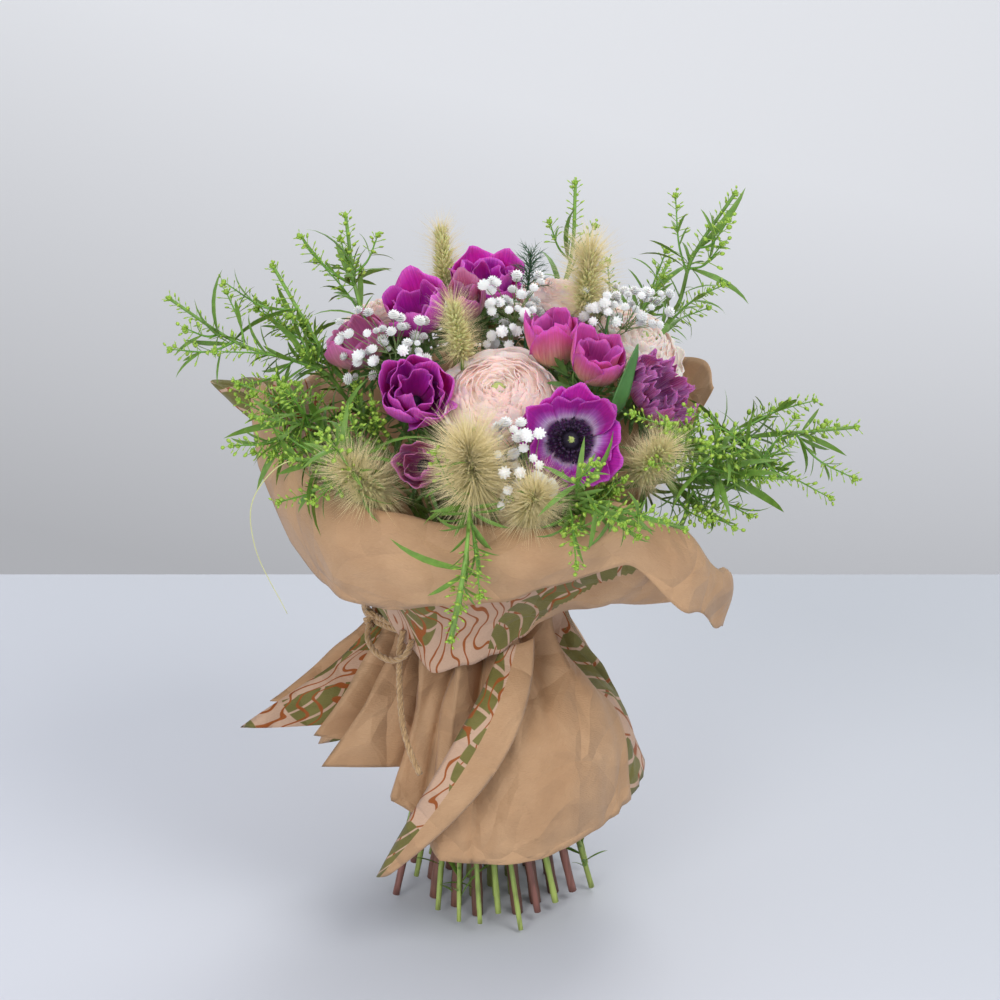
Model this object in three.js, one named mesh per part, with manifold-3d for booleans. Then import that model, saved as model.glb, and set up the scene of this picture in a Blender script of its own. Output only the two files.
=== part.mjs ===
// A hand-tied bouquet that stands on its cut stems: anemones, ranunculus, feather grass, gypsophila,
// green pennycress and asparagus fern, gathered at a tie and wrapped in brown paper with a printed face.
// Millimetres, +Z up. Places are measured from the bundle's own axis, and CENTRE moves the finished
// bouquet so that the origin lies on the surface below the middle of the whole.
import * as THREE from "three";
import { mergeVertices } from "three/addons/utils/BufferGeometryUtils.js";
import Module from "manifold-3d";

const wasm = await Module();
wasm.setup();

// Driving dimensions
const CENTRE = [-12.3, 1.9, 0];
const GAP = 0.3; // left between two pieces that touch
const TIE_Z = 196; // height of the binding point
const STEM_PITCH = 6.2; // distance between stems where they are bound
const STEM_R = 2.9; // radius of a stem where it is bound
const FOOT_SPREAD = 2.85; // how far the stems open at the floor, against the tie
const FOOT_TURN = 50; // degrees the bundle turns from tie to floor
const NECK_Z = 266; // height where stems leave the common sheaf
const NECK_SPREAD = 2.5;
const PAPER = 1.1; // thickness of a paper sheet
const TWINE_R = 1.9;

const COLOURS = {
  anemone_petal: 0xb01aa0,
  dusky_petal: 0xb0567a,
  anemone_centre: 0x1b1430,
  ranunculus_petal: 0xf0cfc4,
  flower_stem: 0x7b4a44,
  leaf: 0x5c9a34,
  grass: 0xc9bd84,
  gypsophila: 0xf2f1e4,
  fern: 0x2f6a3c,
  kraft: 0xc09067,
  twine: 0xb99a72,
};

// Anemones: middle of the head, way it faces, width, depth of the cup, petals, rings of petals
const ANEMONES = [
  { name: "anemone_open", at: [44, -98, 331], faces: [0.12, -0.9, 0.42], width: 58, depth: 13, petals: 7, rings: 1 },
  { name: "anemone_crown", at: [-3, 34, 386], faces: [0.1, -0.3, 0.95], width: 42, depth: 25, petals: 6, rings: 2 },
  { name: "anemone_left", at: [-44, -2, 378], faces: [-0.25, -0.35, 0.9], width: 36, depth: 30, petals: 6, rings: 1 },
  { name: "anemone_dusky", at: [-77, -15, 362], faces: [-0.5, -0.3, 0.8], width: 40, depth: 28, petals: 6, rings: 1 },
  { name: "anemone_deep", at: [-43, -64, 347], faces: [0.05, -0.75, 0.65], width: 40, depth: 30, petals: 5, rings: 2 },
  { name: "anemone_low", at: [-40, -96, 316], faces: [-0.3, -0.85, 0.45], width: 25, depth: 23, petals: 5, rings: 1, plain: true },
  { name: "anemone_tall", at: [35, -33, 369], faces: [-0.1, -0.3, 0.95], width: 30, depth: 38, petals: 6, rings: 1 },
  { name: "anemone_two_tone", at: [59, -58, 364], faces: [0.2, -0.35, 0.9], width: 31, depth: 29, petals: 6, rings: 1 },
  { name: "anemone_right", at: [95, -42, 342], faces: [0.65, -0.45, 0.6], width: 44, depth: 26, petals: 5, rings: 2 },
  { name: "anemone_bud", at: [-15, -4, 385], faces: [-0.05, -0.35, 0.9], width: 21, depth: 28, petals: 5, rings: 1, plain: true },
  { name: "anemone_back_left", at: [-59, 76, 343], faces: [-0.35, 0.6, 0.7], width: 44, depth: 28, petals: 6, rings: 1, plain: true },
  { name: "anemone_back_right", at: [44, 94, 335], faces: [0.3, 0.75, 0.55], width: 52, depth: 18, petals: 7, rings: 1, plain: true },
];
// Ranunculus: middle of the head, way it faces, width
const RANUNCULUS = [
  { name: "ranunculus_front", at: [4, -60, 346], faces: [-0.06, -0.5, 0.86], width: 68 },
  { name: "ranunculus_right", at: [92, 14, 350], faces: [0.5, -0.25, 0.8], width: 60 },
  { name: "ranunculus_top", at: [44, 34, 378], faces: [0.15, 0, 1], width: 52 },
  { name: "ranunculus_left", at: [-68, 30, 368], faces: [-0.35, 0, 0.95], width: 46 },
  { name: "ranunculus_back", at: [-3, 88, 350], faces: [0, 0.65, 0.75], width: 56 },
  { name: "ranunculus_back_right", at: [92, 66, 322], faces: [0.6, 0.55, 0.6], width: 52 },
];
// Feather grass: foot of the head, way it points, length of the head, reach of its bristles
const GRASSES = [
  { name: "grass_front", at: [-6, -104, 306], faces: [-0.2, -0.8, 0.45], length: 44, reach: 25 },
  { name: "grass_front_low", at: [17, -106, 292], faces: [0.25, -0.85, 0.3], length: 36, reach: 20 },
  { name: "grass_left", at: [-60, -84, 296], faces: [-0.5, -0.65, 0.3], length: 42, reach: 21 },
  { name: "grass_middle", at: [-17, -34, 362], faces: [-0.15, -0.3, 0.95], length: 36, reach: 15 },
  { name: "grass_top", at: [55, 0, 378], faces: [0.05, -0.1, 1], length: 40, reach: 19 },
  { name: "grass_rear", at: [-27, 58, 372], faces: [-0.1, 0.15, 0.97], length: 42, reach: 15 },
  { name: "grass_right", at: [82, -78, 306], faces: [0.4, -0.75, 0.3], length: 38, reach: 18 },
  { name: "grass_back", at: [-18, 116, 322], faces: [-0.05, 0.7, 0.65], length: 40, reach: 18 },
];
// Pennycress: the points its shoot runs through, its tip last, and the tips of its side shoots
const PENNYCRESS = [
  { name: "pennycress_far_left", run: [[-98, -22, 348], [-146, -16, 362], [-187, -10, 388]], sides: [[-158, -44, 366]], leaves: 5 },
  { name: "pennycress_left", run: [[-99, 2, 352], [-128, 10, 402]], sides: [[-140, 24, 372]], leaves: 3 },
  { name: "pennycress_left_high", run: [[-78, 2, 384], [-86, 28, 428]], sides: [[-102, 16, 404]], leaves: 3 },
  { name: "pennycress_left_front", run: [[-92, -58, 322], [-136, -64, 334]], sides: [[-122, -84, 318], [-146, -40, 346]], leaves: 5 },
  { name: "pennycress_front_left", run: [[-74, -84, 312], [-110, -104, 322]], sides: [[-98, -120, 302]], leaves: 4 },
  { name: "pennycress_front", run: [[-12, -124, 300], [-14, -152, 280], [-22, -158, 236]], sides: [[-6, -158, 262]], leaves: 3 },
  { name: "pennycress_front_right", run: [[46, -122, 306], [106, -134, 292]], sides: [[46, -156, 278]], leaves: 3 },
  { name: "pennycress_right", run: [[124, -34, 308], [212, -30, 316]], sides: [[196, -52, 280], [190, -10, 326]], leaves: 5 },
  { name: "pennycress_right_low", run: [[118, -62, 296], [172, -62, 296]], sides: [[158, -84, 304]], leaves: 4 },
  { name: "pennycress_right_high", run: [[112, 42, 370], [119, 40, 398], [144, 42, 438]], sides: [[138, 34, 384]], leaves: 4 },
  { name: "pennycress_top", run: [[48, 58, 396], [50, 62, 440]], sides: [[62, 60, 414]], leaves: 3 },
  { name: "pennycress_back_right", run: [[80, 92, 328], [112, 128, 374]], sides: [[136, 106, 350]], leaves: 4 },
];
// Gypsophila: middle of the cloud of florets, its half sizes, florets
const GYPSOPHILA = [
  { name: "gypsophila_left", at: [-62, -42, 366], half: [22, 14, 18], florets: 9 },
  { name: "gypsophila_middle", at: [12, -12, 378], half: [14, 14, 20], florets: 9 },
  { name: "gypsophila_right", at: [86, -18, 376], half: [28, 12, 10], florets: 9 },
  { name: "gypsophila_front", at: [22, -112, 322], half: [16, 12, 20], florets: 9 },
];
const FERNS = [
  { name: "fern_top", at: [21, 14, 386], faces: [0.1, 0, 1], length: 28, reach: 13 },
  { name: "fern_back", at: [14, 110, 322], faces: [0.1, 0.6, 0.8], length: 34, reach: 15 },
];

// Paper: [degrees round the axis, then the profile from the tie outwards as radius and height].
// 180 is the left side and 270 the front. The front sheet turns over outwards at its rim.
const FRONT_SHEET = [
  [178, [75.4, 204], [87, 220], [113, 256], [128, 300], [135, 330], [140, 326], [142, 318]],
  [190, [75.2, 204], [85, 218], [108, 250], [121, 292], [130, 322], [138, 311], [139, 290]],
  [203, [74.3, 204], [83, 217], [104, 246], [116, 284], [124, 308], [134, 287], [126, 250]],
  [218, [77.2, 201], [82, 213], [101, 242], [114, 276], [121, 297], [132, 272], [122, 236]],
  [230, [76, 190], [81, 210], [100, 240], [115, 272], [122, 293], [134, 271], [128, 235]],
  [242, [74, 176], [78, 206], [97, 238], [113, 270], [120, 291], [133, 270], [128, 236]],
  [258, [69.5, 182], [73, 205], [92, 236], [110, 268], [117, 289], [131, 272], [128, 243]],
  [272, [66, 188], [70, 205], [88, 235], [108, 266], [117, 288], [131, 272], [127, 246]],
  [285, [62.6, 196], [68, 208], [90, 233], [112, 262], [124, 287], [136, 274], [124, 252]],
  [300, [59.2, 203], [69, 210], [94, 232], [117, 268], [131, 300], [145, 290], [147, 268]],
  [316, [56.1, 207], [70, 211], [99, 222], [127, 248], [143, 280], [156, 268], [158, 232]],
  [332, [54, 209], [70, 212], [104, 215], [134, 225], [150, 243], [156, 232], [150, 207]],
  [342, [53, 210], [68, 212], [100, 213], [128, 218], [146, 232], [149, 221], [143, 198]],
];
const BACK_SHEET = [
  [12, [47.7, 212], [72, 230], [106, 268], [128, 306], [136, 322]],
  [24, [48.6, 211], [72, 230], [108, 268], [133, 308], [142, 330]],
  [50, [52.4, 208], [72, 228], [104, 266], [124, 300], [131, 318]],
  [75, [57.8, 206], [75, 227], [106, 264], [130, 300], [140, 322]],
  [100, [63.8, 204], [78, 226], [102, 264], [122, 298], [130, 316]],
  [125, [69.4, 204], [82, 226], [106, 264], [132, 300], [143, 322]],
  [148, [73.3, 204], [85, 226], [110, 266], [132, 298], [140, 312]],
  [164, [74.9, 204], [88, 228], [116, 270], [146, 304], [160, 322]],
  [172, [75.3, 204], [88, 228], [116, 272], [150, 308], [170, 328]],
];
// Skirt: [degrees, then middle of the fold and hem as radius and height]; ridges and valleys take turns
const SKIRT = [
  [0, [74, 138], [95, 88]],
  [16, [60, 135], [74, 84]],
  [30, [80, 132], [98, 74]],
  [48, [58, 134], [70, 78]],
  [64, [78, 132], [100, 66]],
  [84, [58, 134], [72, 72]],
  [102, [80, 132], [102, 64]],
  [122, [58, 136], [74, 74]],
  [140, [82, 134], [104, 70]],
  [154, [54, 140], [66, 92]],
  [165, [90, 140], [114, 84]],
  [173, [54, 148], [72, 112]],
  [181, [102, 160], [138, 130]],
  [187, [56, 152], [80, 120]],
  [193, [112, 154], [156, 126]],
  [199, [54, 152], [72, 126]],
  [205, [94, 156], [118, 128]],
  [211, [56, 150], [76, 118]],
  [217, [92, 156], [126, 120]],
  [223, [54, 148], [66, 106]],
  [231, [70, 148], [94, 96]],
  [240, [62, 142], [84, 84]],
  [252, [78, 138], [100, 68]],
  [262, [66, 134], [88, 62]],
  [280, [82, 132], [97, 66]],
  [300, [86, 132], [93, 70]],
  [318, [88, 134], [92, 76]],
  [336, [84, 136], [94, 82]],
];
const SKIRT_TOP = 216;
const SKIRT_NECK = 189; // where the pleats start to open
const PLEAT_IN = 29; // how far in the pleats reach at the tie
// How far out the pleats reach at the tie, wider on the left
const pleatOut = (degrees) => 60 - 14 * Math.cos(rad(degrees));
// The height of the outer twine, which lies lower at the knot
const twineZ = (degrees) => 200 + 6 * Math.cos(rad(degrees - 330));
// The fold that lies down the front: where it starts, where its tip ends, its width
const LAPEL = { from: [58, 285, 192], to: [116, 237, 60], width: 30 };
// Broad leaves: the stem they grow from, how far up it, tip and width
const BROAD_LEAVES = [
  { on: "ranunculus_right", up: 0.5, tip: [68, -20, 383], width: 15 },
  { on: "ranunculus_right", up: 0.4, tip: [85, -50, 374], width: 13 },
  { on: "ranunculus_front", up: 0.5, tip: [-38, -78, 318], width: 13 },
  { on: "ranunculus_left", up: 0.5, tip: [-84, 66, 340], width: 13 },
];

const v = (x, y, z) => new THREE.Vector3(x, y, z);
const vec = (a) => v(a[0], a[1], a[2]);
const rad = THREE.MathUtils.degToRad;
const polar = (r, degrees, z) => v(r * Math.cos(rad(degrees)), r * Math.sin(rad(degrees)), z);

// A repeatable stream of numbers from 0 to 1
function draws(seed) {
  return () => {
    seed = (seed + 0x6d2b79f5) | 0;
    let t = Math.imul(seed ^ (seed >>> 15), 1 | seed);
    t = (t + Math.imul(t ^ (t >>> 7), 61 | t)) ^ t;
    return ((t ^ (t >>> 14)) >>> 0) / 4294967296;
  };
}

// Solids from three.js geometry
function solid(geometry, fine = 1e-4) {
  const bare = new THREE.BufferGeometry().setAttribute("position", geometry.getAttribute("position"));
  if (geometry.index) bare.setIndex(geometry.index);
  const merged = mergeVertices(bare, fine);
  const made = new wasm.Manifold(
    new wasm.Mesh({
      numProp: 3,
      vertProperties: new Float32Array(merged.attributes.position.array),
      triVerts: new Uint32Array(merged.index.array),
    }),
  );
  return made;
}

function shell(points, triangles) {
  return new THREE.BufferGeometry().setFromPoints(points).setIndex(triangles);
}

const union = (solids) => wasm.Manifold.union(solids);

// The body that holds together, without loose scraps and slivers
const FINE = 0.1;
function mainBody(made) {
  return made.simplify(FINE).decompose().sort((a, b) => b.volume() - a.volume())[0];
}

// Rings of points joined into one closed body; a ring of one point is a tip
function loft(rings) {
  const points = rings.flat();
  const starts = [];
  rings.reduce((n, ring) => (starts.push(n), n + ring.length), 0);
  const faces = [];
  for (let k = 0; k + 1 < rings.length; k++) {
    const [a, b] = [rings[k], rings[k + 1]];
    const sides = Math.max(a.length, b.length);
    for (let i = 0; i < sides; i++) {
      const j = (i + 1) % sides;
      const low = (n) => starts[k] + (a.length === 1 ? 0 : n);
      const high = (n) => starts[k + 1] + (b.length === 1 ? 0 : n);
      if (a.length > 1) faces.push(low(i), low(j), high(j));
      if (b.length > 1) faces.push(low(i), high(j), high(i));
    }
  }
  const cap = (start, count, turned) => {
    for (let i = 1; i + 1 < count; i++)
      faces.push(start, start + (turned ? i + 1 : i), start + (turned ? i : i + 1));
  };
  cap(starts[0], rings[0].length, true);
  cap(starts.at(-1), rings.at(-1).length, false);
  return solid(shell(points, faces));
}

// A frame that turns as little as it can along a run of points
function frames(points, firstSide) {
  let side = firstSide ?? null;
  return points.map((p, i) => {
    const before = points[Math.max(i - 1, 0)];
    const after = points[Math.min(i + 1, points.length - 1)];
    const along = after.clone().sub(before).normalize();
    if (!side) side = Math.abs(along.z) < 0.9 ? v(0, 0, 1) : v(1, 0, 0);
    side = side.clone().addScaledVector(along, -side.dot(along)).normalize();
    return { at: p, along, side, up: along.clone().cross(side) };
  });
}

// A stalk of any taper
function stalk(points, radii, sides) {
  return loft(
    frames(points).map((f, k) =>
      Array.from({ length: sides }, (_, i) => {
        const a = (2 * Math.PI * i) / sides;
        return f.at
          .clone()
          .addScaledVector(f.side, radii[k] * Math.cos(a))
          .addScaledVector(f.up, radii[k] * Math.sin(a));
      }),
    ),
  );
}

// A narrow leaf from base to tip, arched by sag towards the ground
function leaf(base, tip, width, thick, sag = 0) {
  const mid = base.clone().lerp(tip, 0.45).add(v(0, 0, sag));
  const along = tip.clone().sub(base).normalize();
  const across = along.clone().cross(v(0, 0, 1)).normalize();
  const up = across.clone().cross(along).normalize();
  const section = (p, w) => [
    p.clone().addScaledVector(across, w / 2).addScaledVector(up, thick / 2),
    p.clone().addScaledVector(up, -thick / 2),
    p.clone().addScaledVector(across, -w / 2).addScaledVector(up, thick / 2),
  ];
  return loft([section(base, width * 0.4), section(mid, width), [tip]]);
}

// A thin blade on a grid of points: its two faces part inside the rim and meet along it
function blade(grid, thick) {
  const [rows, columns] = [grid.length, grid[0].length];
  const inside = (j, i) => j > 0 && i > 0 && j < rows - 1 && i < columns - 1;
  const points = [];
  const top = grid.map((row) => row.map((p) => points.push(p) - 1));
  const under = grid.map((row, j) =>
    row.map((p, i) => {
      if (!inside(j, i)) return top[j][i];
      const across = grid[j][i + 1].clone().sub(grid[j][i - 1]);
      const along = grid[j + 1][i].clone().sub(grid[j - 1][i]);
      const normal = across.cross(along).normalize();
      points[top[j][i]] = p.clone().addScaledVector(normal, thick / 2);
      return points.push(p.clone().addScaledVector(normal, -thick / 2)) - 1;
    }),
  );
  const faces = [];
  for (let j = 0; j + 1 < rows; j++)
    for (let i = 0; i + 1 < columns; i++) {
      const rising = inside(j, i) || inside(j + 1, i + 1);
      for (const [face, turned] of [[top, false], [under, true]]) {
        const [a, b, c, d] = [face[j][i], face[j][i + 1], face[j + 1][i + 1], face[j + 1][i]];
        const two = rising ? [[a, b, c], [a, c, d]] : [[a, b, d], [b, c, d]];
        for (const t of two) faces.push(...(turned ? t.reverse() : t));
      }
    }
  return solid(shell(points, faces));
}

// A sheet of even thickness on a grid of points, closed round when its rows meet
function sheet(grid, thick, closed) {
  const [rows, columns] = [grid.length, grid[0].length];
  const wrap = (i) => (closed ? (i + columns) % columns : Math.min(Math.max(i, 0), columns - 1));
  // The mean of the corners that meet at each point, so that a sharp fold keeps its two walls apart
  const normals = grid.map((row, j) =>
    row.map((p, i) => {
      const sum = v();
      for (const dj of [-1, 1])
        for (const di of [-1, 1]) {
          if (!grid[j + dj] || (!closed && !row[i + di])) continue;
          const across = row[wrap(i + di)].clone().sub(p).multiplyScalar(di);
          const along = grid[j + dj][i].clone().sub(p).multiplyScalar(dj);
          sum.add(across.cross(along).normalize());
        }
      return sum.normalize();
    }),
  );
  const points = [1, -1].flatMap((face) =>
    grid.flatMap((row, j) => row.map((p, i) => p.clone().addScaledVector(normals[j][i], (face * thick) / 2))),
  );
  const at = (face, j, i) => face * rows * columns + j * columns + wrap(i);
  const faces = [];
  const quad = (a, b, c, d) => faces.push(a, b, c, a, c, d);
  for (let j = 0; j + 1 < rows; j++)
    for (let i = 0; i < (closed ? columns : columns - 1); i++) {
      faces.push(at(0, j, i), at(0, j, i + 1), at(0, j + 1, i + 1), at(0, j, i), at(0, j + 1, i + 1), at(0, j + 1, i));
      faces.push(at(1, j, i), at(1, j + 1, i + 1), at(1, j, i + 1), at(1, j, i), at(1, j + 1, i), at(1, j + 1, i + 1));
    }
  for (let i = 0; i < (closed ? columns : columns - 1); i++) {
    quad(at(0, 0, i), at(1, 0, i), at(1, 0, i + 1), at(0, 0, i + 1));
    quad(at(0, rows - 1, i), at(0, rows - 1, i + 1), at(1, rows - 1, i + 1), at(1, rows - 1, i));
  }
  if (!closed)
    for (let j = 0; j + 1 < rows; j++) {
      quad(at(0, j, 0), at(0, j + 1, 0), at(1, j + 1, 0), at(1, j, 0));
      quad(at(0, j, columns - 1), at(1, j, columns - 1), at(1, j + 1, columns - 1), at(0, j + 1, columns - 1));
    }
  return solid(shell(points, faces));
}

// Where a head sits: a frame whose third axis is the way the head faces
function headFrame(head) {
  const z = vec(head.faces).normalize();
  const x = v(0, 0, 1).cross(z).lengthSq() > 1e-3 ? v(0, 0, 1).cross(z).normalize() : v(1, 0, 0);
  return { x, y: z.clone().cross(x), z };
}

function headPoint(frame, origin, radius, angle, height) {
  return origin
    .clone()
    .addScaledVector(frame.x, radius * Math.cos(angle))
    .addScaledVector(frame.y, radius * Math.sin(angle))
    .addScaledVector(frame.z, height);
}

// One petal: its middle line bends through three stations of radius and height, its width follows
function petal(frame, origin, angle, stations, width, most, thick, rows = 4) {
  const [a, b, c] = stations;
  const grid = Array.from({ length: rows }, (_, j) =>
    [1, 0, -1].map((side) => {
      const t = (j / (rows - 1)) * (1 - 0.13 * Math.abs(side) * (j / (rows - 1)));
      const bend = (k) => (1 - t) ** 2 * a[k] + 2 * t * (1 - t) * b[k] + t * t * c[k];
      const half = (width / 2) * (0.3 + 0.7 * Math.sin(Math.PI * (0.12 + 0.68 * t)));
      const spread = Math.min(half / Math.max(bend(0), 2), most);
      return headPoint(frame, origin, bend(0), angle + side * spread, bend(1));
    }),
  );
  return blade(grid, thick);
}

function heart(frame, origin, radius, height) {
  const turned = new THREE.Matrix4().makeBasis(frame.x, frame.y, frame.z).setPosition(origin);
  const geometry = new THREE.OctahedronGeometry(radius * 1.15, 0).rotateX(Math.PI / 2).rotateZ(0.4);
  geometry.scale(1, 1, height / radius).applyMatrix4(turned);
  return solid(geometry);
}

// The foot of a head, where its stem ends
function headFoot(head) {
  const back = head.depth ? head.depth / 2 : head.width ? head.width * 0.22 : 0;
  return vec(head.at).addScaledVector(vec(head.faces).normalize(), -back);
}

function anemonePetals(flower) {
  const frame = headFrame(flower);
  const foot = headFoot(flower);
  const made = [heart(frame, foot.clone().addScaledVector(frame.z, 2), 5.5, 3.4)];
  for (let ring = 0; ring < flower.rings; ring++) {
    const reach = (flower.width / 2) * (1 - 0.4 * ring);
    const high = flower.depth * (1 - 0.12 * ring);
    const open = flower.depth < flower.width * 0.4;
    const stations = open
      ? [[3, 1.5], [reach * 0.7, high * 0.1], [reach * 1.05, high * 1.1]]
      : [[3, 1.5], [reach * 1.45, high * 0.28], [reach * (0.72 + 0.2 * (1 - ring)), high]];
    const count = flower.petals - ring;
    const width = (2 * Math.PI * reach) / count;
    for (let i = 0; i < count; i++) {
      const angle = (2 * Math.PI * (i + 0.5 * ring)) / count + 0.3;
      made.push(petal(frame, foot, angle, stations, width, (Math.PI / count) * 0.93, 1.2, ring || flower.plain ? 3 : 4));
    }
  }
  return mainBody(union(made));
}

function anemoneCentre(flower) {
  const frame = headFrame(flower);
  const seat = headFoot(flower).addScaledVector(frame.z, 9);
  const made = [heart(frame, seat, 5, 3.8)];
  const stamens = 10;
  for (let i = 0; i < stamens; i++) {
    const angle = (2 * Math.PI * i) / stamens;
    made.push(leaf(headPoint(frame, seat, 2, angle, 0), headPoint(frame, seat, 9.5, angle, 1.2), 2, 1.6));
  }
  return mainBody(union(made));
}

function ranunculusPetals(flower) {
  const frame = headFrame(flower);
  const foot = headFoot(flower);
  const R = flower.width / 2;
  const made = [heart(frame, foot.clone().addScaledVector(frame.z, R * 0.28), R * 0.4, R * 0.34)];
  const rings = flower.width > 58 ? 4 : 3;
  for (let ring = 0; ring < rings; ring++) {
    const f = ring / (rings - 1);
    const reach = R * (1 - 0.72 * f);
    const high = R * (0.34 + 0.42 * Math.sin(Math.PI * (0.12 + 0.5 * f)));
    const petals = 6 - ring;
    const stations = [[R * (0.22 - 0.06 * f), R * (0.12 + 0.3 * f)], [reach * 1.25, high * (0.2 + 0.3 * f)], [reach * 0.97, high]];
    const width = (2 * Math.PI * reach) / petals;
    for (let i = 0; i < petals; i++)
      made.push(petal(frame, foot, (2 * Math.PI * (i + 0.5 * ring)) / petals, stations, width, (Math.PI / petals) * 0.92, 1.2, 3));
  }
  return mainBody(union(made));
}

// The bundle: stems stand in a square packing at the tie, five pieces wide without its corners
function placesWhere(test) {
  const places = [];
  for (let i = -3; i <= 3; i++)
    for (let j = -3; j <= 3; j++) {
      const [far, near] = [Math.max(Math.abs(i), Math.abs(j)), Math.min(Math.abs(i), Math.abs(j))];
      if (test(far, near)) places.push({ i, j, angle: Math.atan2(j, i) });
    }
  return places.sort((a, b) => a.angle - b.angle);
}

// Hands the places of one class to its plants in order round the axis, turned to where they lie nearest
function givePlaces(plants, test) {
  const places = placesWhere(test);
  const ordered = plants.map((plant) => ({ plant, angle: Math.atan2(plant.foot.y, plant.foot.x) }));
  ordered.sort((a, b) => a.angle - b.angle);
  let best = { cost: Infinity };
  for (let turn = 0; turn < places.length; turn++) {
    const away = (o, n) => 1 - Math.cos(o.angle - places[(n + turn) % places.length].angle);
    const cost = ordered.reduce((sum, o, n) => sum + away(o, n), 0);
    if (cost < best.cost - 1e-9) best = { cost, turn };
  }
  ordered.forEach((o, n) => (o.plant.place = places[(n + best.turn) % places.length]));
}

// How the bundle opens and turns away from the tie: the two parts of a scaling turn
function opening(z) {
  const low = z < TIE_Z;
  const t = low ? 1 - z / TIE_Z : (z - TIE_Z) / (NECK_Z - TIE_Z);
  const [spread, turn] = low ? [FOOT_SPREAD, rad(FOOT_TURN)] : [NECK_SPREAD, 0];
  return [1 - t + t * spread * Math.cos(turn), t * spread * Math.sin(turn)];
}

function sheafPoint(place, z) {
  const [real, turned] = opening(z);
  const [x, y] = [STEM_PITCH * place.i, STEM_PITCH * place.j];
  return v(real * x - turned * y, turned * x + real * y, z);
}

// From the neck to the head: a smooth run that starts along the sheaf and ends along the head's axis
const RUN_STEPS = 4;
function upperRun(plant) {
  const neck = sheafPoint(plant.place, NECK_Z);
  const start = neck.clone().sub(sheafPoint(plant.place, NECK_Z - 20)).normalize();
  const pull = neck.distanceTo(plant.foot) * 0.42;
  return new THREE.CubicBezierCurve3(
    neck,
    neck.clone().addScaledVector(start, pull),
    plant.foot.clone().addScaledVector(plant.end, -pull),
    plant.foot,
  ).getPoints(RUN_STEPS);
}

// The nearest points of two straight stretches, as shares of their lengths
function nearest(p1, q1, p2, q2) {
  const [d1, d2, r] = [q1.clone().sub(p1), q2.clone().sub(p2), p1.clone().sub(p2)];
  const [a, b, c, e, f] = [d1.dot(d1), d1.dot(d2), d1.dot(r), d2.dot(d2), d2.dot(r)];
  const unit = (x) => Math.min(1, Math.max(0, x));
  const flat = a * e - b * b;
  const first = flat > 1e-6 ? unit((b * f - c * e) / flat) : 0.5;
  const t = unit((b * first + f) / e);
  return [unit((b * t - c) / a), t];
}

// Bends the runs clear of each other and of the heads, all at once and a little at a time
function bendClear(plants, heads) {
  const rounds = 70;
  for (let round = 0; round < rounds; round++) {
    const push = plants.map((p) => p.run3.map(() => v()));
    plants.forEach((one, a) => {
      for (let i = 0; i + 1 < one.run3.length; i++) {
        const [p1, q1] = [one.run3[i], one.run3[i + 1]];
        for (const head of heads) {
          if (head.owner === one) continue;
          const along = q1.clone().sub(p1);
          const s = Math.min(1, Math.max(0, head.middle.clone().sub(p1).dot(along) / along.lengthSq()));
          const off = p1.clone().addScaledVector(along, s).sub(head.middle);
          const short = head.radius + one.thick + 1 - off.length();
          if (short <= 0) continue;
          off.setLength(0.5 * short);
          push[a][i].addScaledVector(off, 1 - s);
          push[a][i + 1].addScaledVector(off, s);
        }
        for (let b = a + 1; b < plants.length; b++) {
          const other = plants[b];
          const room = one.thick + other.thick + 1.3;
          for (let k = 0; k + 1 < other.run3.length; k++) {
            const [p2, q2] = [other.run3[k], other.run3[k + 1]];
            if (p1.distanceTo(p2) > p1.distanceTo(q1) + p2.distanceTo(q2) + room) continue;
            const [s, t] = nearest(p1, q1, p2, q2);
            const off = p1.clone().lerp(q1, s).sub(p2.clone().lerp(q2, t));
            const short = room - off.length();
            if (short <= 0) continue;
            off.setLength(0.3 * short);
            push[a][i].addScaledVector(off, 1 - s);
            push[a][i + 1].addScaledVector(off, s);
            push[b][k].addScaledVector(off, t - 1);
            push[b][k + 1].addScaledVector(off, -t);
          }
        }
      }
    });
    plants.forEach((one, a) => {
      const before = one.run3.map((p) => p.clone());
      for (let i = 1; i < RUN_STEPS; i++) {
        const middle = before[i - 1].clone().add(before[i + 1]).multiplyScalar(0.5);
        one.run3[i].lerp(middle, 0.1).add(push[a][i]);
      }
    });
  }
}

// One stem from the floor to its head. It swells towards stems of its own kind at the tie, where they grow
// into one piece
function stem(plant, kin, footR, neckR, headR) {
  const turns = plant.round ? [0, 45, 90, 180, 225, 270] : [0, 90, 180, 270];
  const isKin = (degrees) => {
    const i = plant.place.i + Math.round(Math.cos(rad(degrees)));
    const j = plant.place.j + Math.round(Math.sin(rad(degrees)));
    return degrees % 90 === 0 && kin.some((k) => k !== plant && k.place.i === i && k.place.j === j);
  };
  const level = (z, radius) => {
    const [real, turned] = opening(z);
    const middle = sheafPoint(plant.place, z);
    return turns.map((degrees) => {
      const a = rad(degrees) + Math.atan2(turned, real);
      const r = radius ?? (isKin(degrees) ? STEM_R + 0.6 : STEM_R);
      return middle.clone().add(v(r * Math.cos(a), r * Math.sin(a), 0));
    });
  };
  const upper = frames(plant.reach ? plant.run3.slice(0, -1) : plant.run3, v(1, 0, 0)).slice(1);
  const rings = upper.map((f, k) => {
    const r = neckR + (headR - neckR) * Math.min(1, (k + 1) / (RUN_STEPS - 1));
    return turns.map((degrees) => {
      const a = rad(degrees);
      return f.at.clone().addScaledVector(f.side, r * Math.cos(a)).addScaledVector(f.up, r * Math.sin(a));
    });
  });
  return loft([level(plant.cut, footR), level(TIE_Z), level(NECK_Z, neckR), ...rings]);
}

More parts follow.
